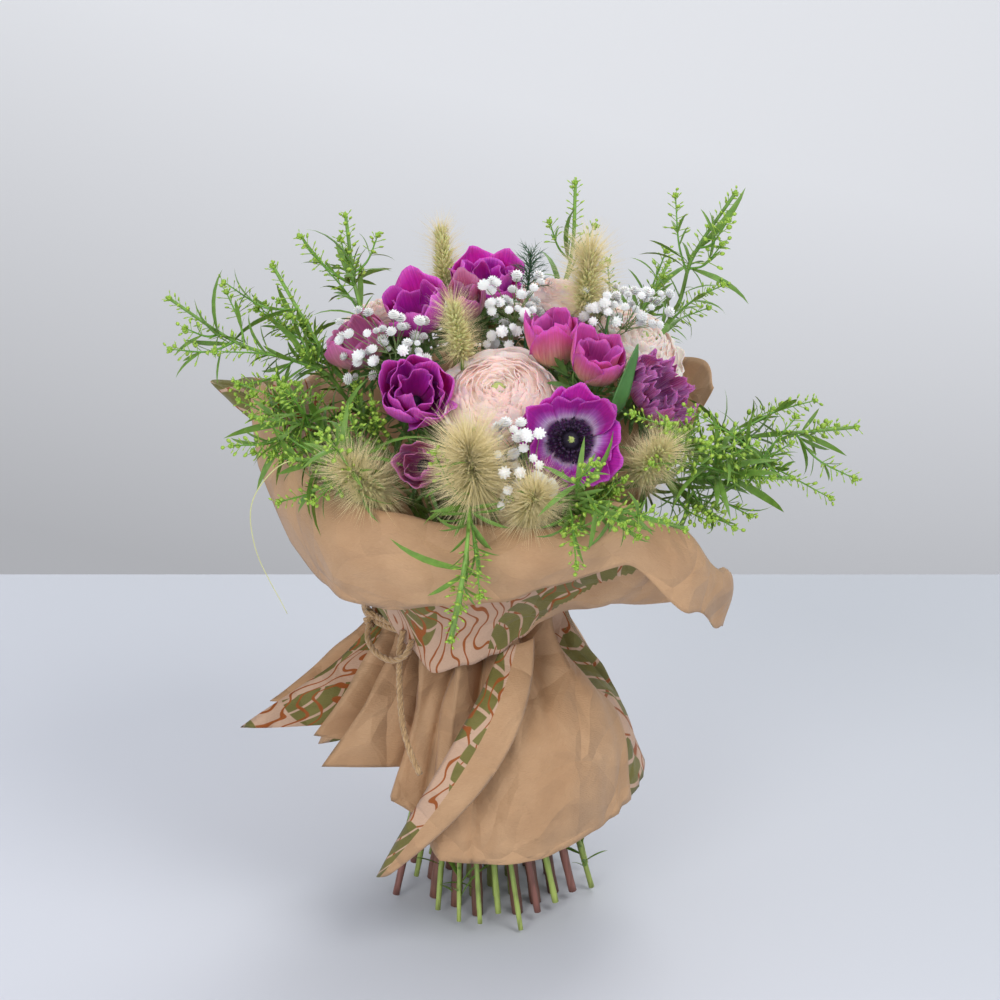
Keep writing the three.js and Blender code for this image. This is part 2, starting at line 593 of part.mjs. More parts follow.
// What is already there: points of every placed surface, kept in cells by place
const CELL = 8;
const cells = new Map();
const cellOf = (p) => [p.x, p.y, p.z].map((c) => Math.floor(c / CELL));
function occupy(point, radius, owner) {
  const key = cellOf(point).join();
  if (!cells.has(key)) cells.set(key, []);
  cells.get(key).push({ point, radius, owner });
}

function isClear(point, radius, owner) {
  if (heads.some((h) => h.owner !== owner && point.distanceTo(h.middle) < h.radius + radius)) return false;
  const [x, y, z] = cellOf(point);
  for (let i = x - 1; i <= x + 1; i++)
    for (let j = y - 1; j <= y + 1; j++)
      for (let k = z - 1; k <= z + 1; k++)
        for (const o of cells.get([i, j, k].join()) ?? [])
          if (o.owner !== owner && point.distanceTo(o.point) < radius + o.radius) return false;
  return true;
}

function occupySurface(made, owner) {
  const { vertProperties: at, triVerts } = made.getMesh();
  const corner = (n) => v(at[3 * n], at[3 * n + 1], at[3 * n + 2]);
  for (let n = 0; n < triVerts.length; n += 3) {
    const [a, b, c] = [0, 1, 2].map((k) => corner(triVerts[n + k]));
    const steps = Math.ceil(Math.max(a.distanceTo(b), b.distanceTo(c), c.distanceTo(a)) / 3.5);
    for (let i = 0; i <= steps; i++)
      for (let j = 0; i + j <= steps; j++) {
        const p = a.clone().lerp(b, i / steps).addScaledVector(c.clone().sub(a), j / steps);
        occupy(p, 1.4, owner);
      }
  }
}

// A small part is only grown where the way to its tip is clear
function reaches(base, tip, radius, owner) {
  return [0.3, 0.5, 0.7, 0.85, 1].every((t) => isClear(base.clone().lerp(tip, t), radius, owner));
}

// The ruff of cut leaves that stands below an anemone
function ruff(flower, seed) {
  const frame = headFrame(flower);
  const foot = headFoot(flower).addScaledVector(frame.z, -8);
  const next = draws(seed);
  const lobes = 3;
  const made = [];
  for (let i = 0; i < lobes; i++) {
    const angle = (2 * Math.PI * (i + 0.3 * next())) / lobes;
    const long = 13 + 6 * next();
    const base = headPoint(frame, foot, 0.4, angle, 0);
    const tip = headPoint(frame, foot, long, angle, 3 + 3 * next());
    if (reaches(base, tip, 1, flower)) made.push(leaf(base, tip, 4.4, 1.3, 1.5));
  }
  return made;
}

// A spray of needles on a slim core: grass heads and fern tips
function needleSpray(head, needles, needleWidth, coreR, seed) {
  const frame = headFrame(head);
  const foot = vec(head.at);
  const next = draws(seed);
  const core = [-0.06, 0.3, 0.75, 1].map((t) => headPoint(frame, foot, 0, 0, t * head.length * 0.82));
  const made = [stalk(core, [coreR * 0.5, coreR, coreR * 0.9, coreR * 0.25], 4)];
  for (let i = 0; i < needles; i++) {
    const t = (i + 0.5) / needles;
    const angle = i * 2.39996;
    const base = headPoint(frame, foot, 0, 0, head.length * 0.72 * t + 1);
    const lean = 1.45 - 1.1 * t;
    const long = head.reach * (0.85 + 0.3 * next());
    const high = head.length * 0.72 * t + long * Math.cos(lean);
    const tip = headPoint(frame, foot, long * Math.sin(lean), angle, high);
    if (reaches(base, tip, 0.8, head)) made.push(leaf(base, tip, needleWidth, needleWidth * 0.8));
  }
  return made;
}

// A pod on its short foot: a kite turned round its own line
function pod(base, tip, width) {
  const along = tip.clone().sub(base).normalize();
  const side = Math.abs(along.z) < 0.9 ? along.clone().cross(v(0, 0, 1)).normalize() : v(1, 0, 0);
  const up = along.clone().cross(side);
  const belly = base.clone().lerp(tip, 0.68);
  const ring = [0, 1, 2].map((i) => {
    const a = (2 * Math.PI * i) / 3;
    return belly.clone().addScaledVector(side, (width / 2) * Math.cos(a)).addScaledVector(up, (width / 2) * Math.sin(a));
  });
  return loft([[base], ring, [tip]]);
}

// A raceme: pods spiralling up the last stretch of a shoot, smaller towards its tip
function raceme(points, pods, owner) {
  const stretch = frames(new THREE.CatmullRomCurve3(points).getPoints(pods + 1));
  const made = [];
  for (let i = 1; i <= pods; i++) {
    const f = stretch[i];
    const t = i / (pods + 1);
    const angle = i * 2.39996;
    const long = 9.5 - 4 * t;
    const out = f.side.clone().multiplyScalar(Math.cos(angle)).addScaledVector(f.up, Math.sin(angle));
    const tip = f.at.clone().addScaledVector(out, long).addScaledVector(f.along, long * 0.45);
    if (reaches(f.at, tip, 1.2, owner)) made.push(pod(f.at, tip, 4.8 - 1.2 * t));
  }
  return made;
}

function pennycress(plant, seed) {
  const next = draws(seed);
  const made = [stem(plant, [], 2, 1.7, 0.9)];
  const shoot = new THREE.CatmullRomCurve3(plant.run3.slice(RUN_STEPS - 1));
  made.push(...raceme([0.6, 0.82, 1].map((t) => shoot.getPointAt(t)), 5, plant));
  plant.sides.forEach((end, k) => {
    const from = shoot.getPointAt(0.34 + 0.2 * k);
    const tip = vec(end);
    const middle = from.clone().lerp(tip, 0.5).add(v(0, 0, 4));
    if (!reaches(from, middle, 1, plant) || !reaches(middle, tip, 1.5, plant)) return;
    const run = new THREE.CatmullRomCurve3([from, middle, tip]).getPoints(2);
    made.push(stalk(run, [1, 0.9, 0.5], 3));
    made.push(...raceme(run.slice(1), 3, plant));
  });
  for (let i = 0; i < plant.leaves; i++) {
    const t = 0.1 + (0.6 * i) / plant.leaves;
    const base = shoot.getPointAt(t);
    const along = shoot.getTangentAt(t);
    const angle = i * 2.39996 + next();
    const side = along.clone().cross(v(0, 0, 1)).normalize();
    const up = side.clone().cross(along);
    const out = side.multiplyScalar(Math.cos(angle)).addScaledVector(up, Math.sin(angle));
    const long = 22 + 12 * next();
    const tip = base.clone().addScaledVector(out, long * 0.8).addScaledVector(along, long * 0.5);
    tip.z -= 4 * next();
    if (reaches(base, tip, 1.6, plant)) made.push(leaf(base, tip, 5, 1.1, 3));
  }
  return made;
}

// A floret on its thread: one body that widens from the fork to the flower
function floret(from, at, size) {
  const along = at.clone().sub(from).normalize();
  const side = along.clone().cross(Math.abs(along.z) < 0.9 ? v(0, 0, 1) : v(1, 0, 0)).normalize();
  const up = along.clone().cross(side);
  const ring = (distance, r) =>
    [0, 1, 2].map((i) => {
      const a = (2 * Math.PI * i) / 3;
      const p = at.clone().addScaledVector(along, distance);
      return p.addScaledVector(side, r * Math.cos(a)).addScaledVector(up, r * Math.sin(a));
    });
  const root = [0, 1, 2].map((i) => {
    const a = (2 * Math.PI * i) / 3;
    return from.clone().addScaledVector(side, 0.6 * Math.cos(a)).addScaledVector(up, 0.6 * Math.sin(a));
  });
  return loft([root, ring(-size, 0.6), ring(0.2 * size, size), [at.clone().addScaledVector(along, size * 0.5)]]);
}

// A cloud of small white florets, each on a thread from the spray's fork
function gypsophila(plant, seed) {
  const next = draws(seed);
  const fork = plant.foot.clone();
  const made = [stem(plant, [], 2, 1.7, 1)];
  made.push(solid(new THREE.OctahedronGeometry(2.6, 0).translate(...fork.toArray())));
  for (let i = 0, tries = 0; i < plant.florets && tries < 300; tries++) {
    const at = vec(plant.at).add(v(...plant.half.map((half) => half * (2 * next() - 1) * 1.2)));
    const size = 4 + next();
    if (!isClear(at, size, plant) || !reaches(fork, at, 0.6, plant)) continue;
    i++;
    made.push(floret(fork, at, size));
  }
  return made;
}

function broadLeaves(plant) {
  return BROAD_LEAVES.filter((l) => l.on === plant.name).map((l) => {
    const shoot = new THREE.CatmullRomCurve3(plant.run3);
    const base = shoot.getPointAt(l.up);
    const tip = vec(l.tip);
    const mid = base.clone().lerp(tip, 0.5).addScaledVector(vec(l.tip).setZ(0).normalize(), 3);
    const across = tip.clone().sub(base).normalize().cross(mid.clone().setZ(0).normalize()).normalize();
    const row = (p, half) => [1, 0, -1].map((k) => p.clone().addScaledVector(across, k * half));
    const between = (a, b) => a.clone().lerp(b, 0.5);
    const grid = [
      row(base, 1.2),
      row(between(base, mid), l.width * 0.38),
      row(mid, l.width * 0.5),
      row(between(mid, tip), l.width * 0.4),
      row(tip, 0.6),
    ];
    return blade(grid, 1.1);
  });
}

// Paper
function profileGrid(sections, columns) {
  const first = sections[0][0];
  const last = sections.at(-1)[0];
  const at = (degrees, k) => {
    const after = Math.max(1, sections.findIndex((s) => s[0] >= degrees - 1e-9));
    const [a, b] = [sections[after - 1], sections[after]];
    const t = (degrees - a[0]) / (b[0] - a[0]);
    const mix = (n) => a[k][n] + (b[k][n] - a[k][n]) * t * t * (3 - 2 * t);
    return polar(mix(0), degrees, mix(1));
  };
  return sections[0].slice(1).map((_, k) =>
    Array.from({ length: columns }, (_, i) => at(first + ((last - first) * i) / (columns - 1), k + 1)),
  );
}

function collar(sections, columns) {
  return sheet(profileGrid(sections, columns), PAPER, false);
}

function skirt() {
  const columns = [];
  SKIRT.forEach((fold, n) => {
    const next = SKIRT[(n + 1) % SKIRT.length];
    const ridge = n % 2 === 0;
    const span = (next[0] - fold[0] + 360) % 360;
    for (const t of [0, 0.5]) {
      const degrees = fold[0] + span * t;
      // Halfway between two folds the paper lies a little outside the straight line
      const mix = (k, m) => fold[k][m] + (next[k][m] - fold[k][m]) * (ridge ? t * 0.86 : t * 1.14);
      const share = t ? 0.5 : ridge ? 1 : 0;
      const waist = PLEAT_IN + (pleatOut(degrees) - PLEAT_IN) * share;
      columns.push([
        polar(Math.max(waist, 40), degrees, SKIRT_TOP),
        polar(waist, degrees, SKIRT_NECK),
        polar(mix(1, 0), degrees, mix(1, 1)),
        polar(mix(2, 0), degrees, mix(2, 1)),
      ]);
    }
  });
  return sheet(columns[0].map((_, j) => columns.map((column) => column[j])), PAPER, true);
}

// The turned-back edge down the front of the skirt, fused to it at its top
function lapel() {
  const { from, to, width } = LAPEL;
  const rows = 5;
  const grid = Array.from({ length: rows }, (_, j) => {
    const t = j / (rows - 1);
    const mix = (k) => from[k] + (to[k] - from[k]) * t;
    const stand = 1 + 0.12 * Math.sin(Math.PI * t);
    const half = (width * Math.sin(Math.PI * (0.2 + 0.72 * t))) / 2 + 1;
    return [-1, 0, 1].map((side) => {
      const r = mix(0) * stand + (side ? 0 : 2);
      return polar(r, mix(1) + (side * half * 57.3) / mix(0), mix(2) + side * 2);
    });
  });
  return sheet(grid, PAPER, false);
}

// Twine: two turns round the pleats and the knot on the left of the front
const KNOT = [pleatOut(203) + 4.8, 203, twineZ(203)];
function twineTie() {
  const turns = 20;
  const section = [[0, -2], [1, -1], [0.4, 0], [1, 1], [0, 2], [-1, 0]];
  const rings = Array.from({ length: turns }, (_, n) => {
    const degrees = (360 * n) / turns;
    const out = pleatOut(degrees) + PAPER / 2 + GAP + 0.9 + TWINE_R;
    return section.map(([x, z]) => polar(out + TWINE_R * x, degrees, twineZ(degrees) + TWINE_R * 0.92 * z));
  });
  const knot = new THREE.IcosahedronGeometry(5.2, 0).translate(...polar(...KNOT).toArray());
  return union([hoop(rings), solid(knot)]);
}

// Rings of points joined into a closed round
function hoop(rings) {
  const sides = rings[0].length;
  const faces = [];
  rings.forEach((_, k) => {
    const [a, b] = [k * sides, ((k + 1) % rings.length) * sides];
    for (let i = 0; i < sides; i++) {
      const j = (i + 1) % sides;
      faces.push(a + i, b + i, b + j, a + i, b + j, a + j);
    }
  });
  return solid(shell(rings.flat(), faces));
}

// The loose twine: a bight that sags from the knot to the paper's edge, and the free end that hangs from there
const LOOP = [[-72.8, -36.4, 195], [-73.5, -45, 189], [-67.5, -56, 184], [-58, -63.5, 183], [-50.5, -67, 188], [-46.6, -61.8, 195]];
const TAIL = [
  [-52, -58.6, 200], [-54, -60.6, 190], [-54.5, -62, 176], [-54, -66, 160], [-52, -74, 144], [-47, -82, 130], [-42, -86, 120],
];
function cord(points, steps) {
  const section = new THREE.Shape(
    Array.from({ length: 8 }, (_, i) => {
      const a = (2 * Math.PI * i) / 8;
      return new THREE.Vector2(TWINE_R * Math.cos(a), TWINE_R * Math.sin(a));
    }),
  );
  const path = new THREE.CatmullRomCurve3(points.map(vec));
  return solid(new THREE.ExtrudeGeometry(section, { steps, bevelEnabled: false, extrudePath: path }));
}

// The first binding, wound straight round the stems inside the paper
function stemBinding() {
  const [inner, outer, half] = [26.8, 28.1, 2.5];
  const profile = [[inner, -half], [outer, -half], [outer, half], [inner, half], [inner, -half]];
  const points = profile.map(([x, y]) => new THREE.Vector2(x, y));
  return solid(new THREE.LatheGeometry(points, 24).rotateX(Math.PI / 2).translate(0, 0, TIE_Z));
}

// Where each plant's stem ends and the way it points there
for (const plant of [...ANEMONES, ...RANUNCULUS, ...GRASSES, ...FERNS]) {
  plant.end = vec(plant.faces).normalize();
  // A bloom's heart reaches a little below the bloom, and the stem stops short of it
  const heartBelow = plant.petals ? 2.3 : plant.width ? plant.width * 0.056 + 0.4 : 0;
  plant.foot = headFoot(plant).addScaledVector(plant.end, -heartBelow);
}
for (const plant of PENNYCRESS) {
  plant.foot = vec(plant.run[0]);
  plant.end = vec(plant.run[1]).sub(plant.foot).normalize();
}
for (const plant of GYPSOPHILA) {
  plant.end = vec(plant.at).sub(v(0, 0, 150)).normalize();
  plant.foot = vec(plant.at).addScaledVector(plant.end, -26);
}
const named = (list, ...names) => list.filter((p) => names.some((n) => p.name.endsWith(n)));
const middles = [...named(RANUNCULUS, "_back_right"), ...FERNS, ...named(GRASSES, "_middle")];
givePlaces(named(RANUNCULUS, "_top"), (far) => far === 0);
givePlaces(named(RANUNCULUS, "_front", "ranunculus_right", "_left", "_back"), (far, near) => far === 1 && near === 0);
givePlaces(middles, (far, near) => far === 1 && near === 1);
givePlaces(ANEMONES, (far, near) => far === 2 && near < 2);
givePlaces(GYPSOPHILA, (far, near) => far === 2 && near === 2);
givePlaces([...GRASSES.filter((g) => !middles.includes(g)), ...PENNYCRESS], (far, near) => far === 3 && near < 3);

const plants = [...RANUNCULUS, ...ANEMONES, ...GRASSES, ...GYPSOPHILA, ...FERNS, ...PENNYCRESS];
const heads = [
  ...RANUNCULUS.map((f) => ({ owner: f, middle: vec(f.at), radius: f.width * 0.46 })),
  ...ANEMONES.map((f) => ({ owner: f, middle: vec(f.at), radius: Math.max(f.width, f.depth) * 0.48 })),
];
const cutDraw = draws(5);
for (const plant of plants) {
  plant.round = Boolean(plant.width);
  plant.thick = plant.round ? 2.6 : plant.reach ? 2.8 : 1.7;
  plant.cut = plant.round ? 0 : 9 * cutDraw();
  plant.run3 = [...upperRun(plant), ...(plant.run ?? []).slice(1).map(vec)];
  if (plant.reach) plant.run3.push(plant.foot.clone().addScaledVector(plant.end, 0.82 * plant.length));
}
bendClear(plants, heads);

// Everything in turn: earlier pieces keep their shape, later ones give way to them
const pieces = [];
function add(name, made, colour, owner) {
  pieces.push({ name, made, colour });
  occupySurface(made, owner ?? name);
}
add("wrap_skirt", mainBody(union([skirt(), lapel()])), "kraft");
add("wrap_front_sheet", collar(FRONT_SHEET, 21), "kraft");
add("wrap_back_sheet", collar(BACK_SHEET, 17), "kraft");
add("twine_tie", twineTie(), "twine");
add("twine_loop", cord(LOOP, 12), "twine");
add("twine_tail", cord(TAIL, 11), "twine");
add("stem_binding", stemBinding(), "twine");
for (const f of ANEMONES) add(f.name + "_petals", anemonePetals(f), "anemone_petal", f);
add("anemone_open_centre", anemoneCentre(ANEMONES[0]), "anemone_centre", ANEMONES[0]);
for (const f of RANUNCULUS) add(f.name + "_petals", ranunculusPetals(f), "ranunculus_petal", f);
for (const plant of plants) {
  const path = new THREE.CatmullRomCurve3(plant.run3).getSpacedPoints(60);
  for (const p of path) occupy(p, plant.thick, plant);
}
const ranunculusStems = RANUNCULUS.map((f) => union([stem(f, RANUNCULUS, 3.5, 2.6, 2.3), ...broadLeaves(f)]));
add("ranunculus_stems", mainBody(union(ranunculusStems)), "leaf", RANUNCULUS);
const sideOf = (f) => {
  const { i, j } = f.place;
  if (Math.abs(i) > Math.abs(j)) return i > 0 ? "right" : "left";
  return j > 0 ? "back" : "front";
};
for (const side of ["front", "left", "back", "right"]) {
  const group = ANEMONES.filter((f) => sideOf(f) === side);
  const stems = group.map((f) => union([stem(f, group, 3.5, 2.6, 2), ...ruff(f, 11 + ANEMONES.indexOf(f))]));
  add("anemone_stems_" + side, mainBody(union(stems)), "flower_stem", group);
}
const sprig = (list, colour, grow) =>
  list.forEach((plant, i) => add(plant.name, mainBody(union(grow(plant, i))), colour, plant));
sprig(GRASSES, "grass", (g, i) => [stem(g, [], 2, 1.7, 1.2), ...needleSpray(g, 13, 1.8, 3.2, 31 + i)]);
sprig(FERNS, "fern", (g, i) => [stem(g, [], 2, 1.7, 1), ...needleSpray(g, 12, 1.7, 1.5, 71 + i)]);
sprig(PENNYCRESS, "leaf", (p, i) => pennycress(p, 91 + i));
sprig(GYPSOPHILA, "gypsophila", (g, i) => gypsophila(g, 51 + i));

// Cuts from a piece what lies within the gap of an earlier one
const SHIFTS = [v(), v(1, 0, 0), v(-1, 0, 0), v(0, 1, 0), v(0, -1, 0), v(0, 0, 1), v(0, 0, -1)];
function boxOf(made) {
  const { min, max } = made.boundingBox();
  return new THREE.Box3(v(...min), v(...max));
}

function giveWay(made, other) {
  if (!boxOf(made).intersectsBox(boxOf(other).expandByScalar(GAP))) return made;
  const common = made.intersect(other);
  const apart = common.isEmpty();
  const box = apart ? null : boxOf(common).expandByScalar(6 * GAP);
  common.delete();
  if (apart) return made;
  const [size, middle] = [box.getSize(v()), box.getCenter(v())];
  const block = solid(new THREE.BoxGeometry(...size.toArray()).translate(...middle.toArray()));
  const near = other.intersect(block);
  const moved = SHIFTS.map((s) => near.translate(s.clone().multiplyScalar(GAP * 1.4).toArray()));
  const grown = union(moved);
  const cut = made.subtract(grown);
  const kept = mainBody(cut);
  for (const used of [block, near, ...moved, grown, cut]) used.delete();
  return kept;
}

// The same body with corners that all but meet drawn into one
function settled(made) {
  const { vertProperties, triVerts } = made.getMesh();
  const geometry = new THREE.BufferGeometry();
  geometry.setAttribute("position", new THREE.BufferAttribute(new Float32Array(vertProperties), 3));
  geometry.setIndex(new THREE.BufferAttribute(new Uint32Array(triVerts), 1));
  return mainBody(solid(geometry, 4e-3));
}

const bouquet = new THREE.Group();
bouquet.position.set(...CENTRE);
pieces.forEach((piece, n) => {
  for (let k = 0; k < n; k++) piece.made = giveWay(piece.made, pieces[k].made);
  const found = settled(settled(piece.made)).getMesh();
  const geometry = new THREE.BufferGeometry();
  geometry.setAttribute("position", new THREE.BufferAttribute(new Float32Array(found.vertProperties), 3));
  geometry.setIndex(new THREE.BufferAttribute(new Uint32Array(found.triVerts), 1));
  const mesh = new THREE.Mesh(
    geometry,
    new THREE.MeshStandardMaterial({ color: COLOURS[piece.colour], roughness: 0.8, metalness: 0 }),
  );
  mesh.name = piece.name;
  bouquet.add(mesh);
});

export default bouquet;
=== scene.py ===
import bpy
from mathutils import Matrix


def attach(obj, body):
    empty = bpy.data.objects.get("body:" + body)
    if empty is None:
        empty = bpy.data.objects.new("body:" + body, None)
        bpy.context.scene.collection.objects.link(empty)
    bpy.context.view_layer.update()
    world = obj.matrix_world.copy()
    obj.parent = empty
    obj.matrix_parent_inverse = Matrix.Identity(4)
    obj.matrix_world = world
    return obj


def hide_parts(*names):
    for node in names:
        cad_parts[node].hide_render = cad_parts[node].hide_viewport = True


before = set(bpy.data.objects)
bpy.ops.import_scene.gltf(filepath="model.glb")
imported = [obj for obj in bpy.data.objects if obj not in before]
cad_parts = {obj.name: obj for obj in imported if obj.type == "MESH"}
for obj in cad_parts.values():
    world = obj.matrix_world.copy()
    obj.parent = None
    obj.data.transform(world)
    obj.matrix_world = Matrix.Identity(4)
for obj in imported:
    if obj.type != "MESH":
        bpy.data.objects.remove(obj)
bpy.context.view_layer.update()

import cmath
import math
from types import SimpleNamespace

import bpy
import numpy as np
from mathutils import Vector

MM, FULL = 0.001, 2 * math.pi
CENTRE = np.array([-12.3, 1.9, 0.0])  # from the bundle's axis to the frame
GOLDEN = 2.39996  # the turn from one leaf or bristle to the next, in radians

# The bundle of stems
TIE_Z, NECK_Z = 196.0, 266.0
STEM_PITCH = 6.2
FOOT_SPREAD, FOOT_TURN, NECK_SPREAD = 2.85, math.radians(50), 2.5
FOOT_R, NECK_R = 3.5, 2.6  # radii of the flower stems
RUN_STEPS, BEND_ROUNDS, STEM_POINTS = 4, 70, 60
AIR = 1.3  # room that two stems keep between them
# Thicknesses
PAPER, ANEMONE_PETAL, RANUNCULUS_PETAL, BROAD_LEAF = 0.4, 0.28, 0.3, 0.7
# The twine: its radius, the length in which its strands go round once, and the knot's degrees round the axis
TWINE_R, TWINE_TURN, KNOT_AT = 1.9, 12.0, 203
# How many there are of what grows in numbers
STAMENS, RANUNCULUS_RINGS, RUFF_LEAVES, FERN_TWIGS, SPRAY_TWIGS, FLORETS = 44, 13, 9, 26, 7, 46
# Where the random numbers of each kind start
SEED = {
    "anemone": 100, "ranunculus": 200, "ruff": 300, "thin stem": 500, "bristles": 40, "spikelets": 60,
    "needles": 90, "pennycress": 120, "leaves": 130, "curled leaves": 140, "pods": 150, "buds": 170,
    "gypsophila": 190, "florets": 210,
}

# Anemones: middle of the head, way it faces, width, depth, petals, rings, finish
ANEMONES = [
    ("open", (44, -98, 331), (0.12, -0.9, 0.42), 58, 13, 7, 1, "open"),
    ("crown", (-3, 34, 386), (0.1, -0.3, 0.95), 42, 25, 6, 2, "magenta"),
    ("left", (-44, -2, 378), (-0.25, -0.35, 0.9), 36, 30, 6, 1, "magenta"),
    ("dusky", (-77, -15, 362), (-0.5, -0.3, 0.8), 40, 28, 6, 1, "dusky"),
    ("deep", (-43, -64, 347), (0.05, -0.75, 0.65), 40, 30, 5, 2, "magenta"),
    ("low", (-40, -96, 316), (-0.3, -0.85, 0.45), 25, 23, 5, 1, "dusky"),
    ("tall", (35, -33, 369), (-0.1, -0.3, 0.95), 30, 38, 6, 1, "two_tone"),
    ("two_tone", (59, -58, 364), (0.2, -0.35, 0.9), 31, 29, 6, 1, "two_tone"),
    ("right", (95, -42, 342), (0.65, -0.45, 0.6), 44, 26, 5, 2, "streaked"),
    ("bud", (-15, -4, 385), (-0.05, -0.35, 0.9), 21, 28, 5, 1, "dusky"),
    ("back_left", (-59, 76, 343), (-0.35, 0.6, 0.7), 44, 28, 6, 1, "magenta"),
    ("back_right", (44, 94, 335), (0.3, 0.75, 0.55), 52, 18, 7, 1, "magenta"),
]
# Ranunculus: middle of the head, way it faces, width
RANUNCULUS = [
    ("front", (4, -60, 346), (-0.06, -0.5, 0.86), 68),
    ("right", (88, 9, 357), (0.45, -0.35, 0.8), 60),
    ("top", (44, 34, 378), (0.15, 0, 1), 52),
    ("left", (-68, 30, 368), (-0.35, 0, 0.95), 46),
    ("back", (-3, 88, 350), (0, 0.65, 0.75), 56),
    ("back_right", (92, 66, 322), (0.6, 0.55, 0.6), 52),
]
# Feather grass: foot of the head, way it points, length of the head, reach of its bristles, their number, and
# how far the head curves upwards. Fern: the same, up to the reach
GRASSES = [
    ("grass_front", (-6, -104, 306), (-0.2, -0.8, 0.45), 44, 25, 3600, 0.9),
    ("grass_front_low", (17, -106, 292), (0.25, -0.85, 0.3), 36, 20, 2800, 0.5),
    ("grass_left", (-60, -84, 296), (-0.5, -0.65, 0.3), 42, 21, 2200, 0.5),
    ("grass_middle", (-17, -34, 362), (-0.15, -0.3, 0.95), 36, 15, 1300, 0),
    ("grass_top", (55, 0, 378), (0.05, -0.1, 1), 40, 19, 2000, 0.1),
    ("grass_rear", (-27, 58, 372), (-0.1, 0.15, 0.97), 42, 15, 1100, 0),
    ("grass_right", (82, -78, 306), (0.4, -0.75, 0.3), 38, 18, 1800, 0.6),
    ("grass_back", (-18, 116, 322), (-0.05, 0.7, 0.65), 40, 18, 1300, 0.2),
]
FERNS = [
    ("fern_top", (21, 14, 386), (0.1, 0, 1), 28, 13),
    ("fern_back", (14, 110, 322), (0.1, 0.6, 0.8), 34, 15),
]
# Pennycress: the points its shoot runs through, its tip last, the tips of its side shoots, how many more there
# are, and the spacing of the leaves: few and far apart on the shoots that stand out, many in the dense front
PENNYCRESS = [
    ("far_left", [(-98, -22, 348), (-146, -16, 362), (-187, -10, 388)], [(-158, -44, 366)], 7, 6.0),
    ("left", [(-99, 2, 352), (-128, 10, 402)], [(-140, 24, 372)], 6, 6.0),
    ("left_high", [(-78, 2, 384), (-86, 28, 428)], [(-102, 16, 404)], 4, 7.5),
    ("left_front", [(-92, -58, 322), (-136, -64, 334)], [(-122, -84, 318), (-146, -40, 346)], 13, 4.4),
    ("front_left", [(-74, -84, 312), (-110, -104, 322)], [(-98, -120, 302)], 10, 4.4),
    ("front", [(-12, -124, 300), (-14, -152, 280), (-22, -158, 236)], [(-6, -158, 262)], 5, 5.0),
    ("front_right", [(46, -122, 306), (106, -134, 292)], [(46, -156, 278)], 11, 4.6),
    ("right", [(124, -34, 308), (212, -30, 316)], [(196, -52, 280), (190, -10, 326)], 8, 5.6),
    ("right_low", [(118, -62, 296), (172, -62, 296)],
     [(158, -84, 304), (98, -104, 342), (120, -100, 330), (88, -112, 322), (78, -98, 346), (110, -92, 346)], 11, 4.6),
    ("right_high", [(112, 42, 370), (119, 40, 398), (144, 42, 438)], [(138, 34, 384)], 3, 7.5),
    ("top", [(48, 58, 396), (50, 62, 440)], [(62, 60, 414)], 2, 7.5),
    ("back_right", [(80, 92, 328), (112, 128, 374)], [(136, 106, 350)], 6, 6.0),
]
# Gypsophila: middle of the cloud of florets, its half sizes
GYPSOPHILA = [
    ("left", (-62, -42, 366), (22, 14, 18)),
    ("middle", (12, -12, 378), (14, 14, 20)),
    ("right", (77, -10, 383), (23, 10, 8)),
    ("front", (22, -112, 322), (16, 12, 20)),
]
# Broad leaves: the ranunculus stem they grow from, how far up it, tip, width, and the point they bow out through
BROAD_LEAVES = [
    ("right", 0.5, (68, -20, 383), 15, None),
    ("right", 0.4, (82, -64, 376), 15, (69, -74, 340)),
    ("front", 0.5, (-38, -78, 318), 13, None),
    ("left", 0.5, (-84, 66, 340), 13, None),
]
# Paper: degrees round the axis (180 left, 270 front), then the profile outwards as radius and height
FRONT_SHEET = [
    (178, (75.4, 204), (87, 220), (113, 256), (128, 300), (135, 330), (140, 326), (142, 318)),
    (190, (75.2, 204), (85, 218), (108, 250), (121, 292), (130, 322), (138, 311), (139, 290)),
    (203, (74.3, 204), (83, 217), (104, 246), (116, 284), (124, 308), (134, 287), (126, 250)),
    (218, (77.2, 201), (82, 213), (101, 242), (114, 276), (121, 297), (132, 272), (122, 236)),
    (230, (76, 190), (81, 210), (100, 240), (115, 272), (122, 293), (134, 271), (128, 235)),
    (242, (74, 176), (78, 206), (97, 238), (113, 270), (120, 291), (133, 270), (128, 236)),
    (258, (69.5, 182), (73, 205), (92, 236), (110, 268), (117, 289), (131, 272), (128, 243)),
    (272, (66, 188), (70, 205), (88, 235), (108, 266), (117, 288), (131, 272), (127, 246)),
    (285, (62.6, 196), (68, 208), (90, 233), (112, 262), (124, 287), (136, 274), (124, 252)),
    (300, (59.2, 203), (69, 210), (94, 232), (117, 268), (131, 300), (145, 290), (147, 268)),
    (316, (56.1, 207), (70, 211), (99, 222), (127, 248), (143, 280), (156, 268), (158, 232)),
    (332, (54, 209), (70, 212), (104, 215), (134, 225), (150, 243), (156, 232), (150, 207)),
    (342, (53, 210), (68, 212), (100, 213), (128, 218), (146, 232), (149, 221), (143, 198)),
]
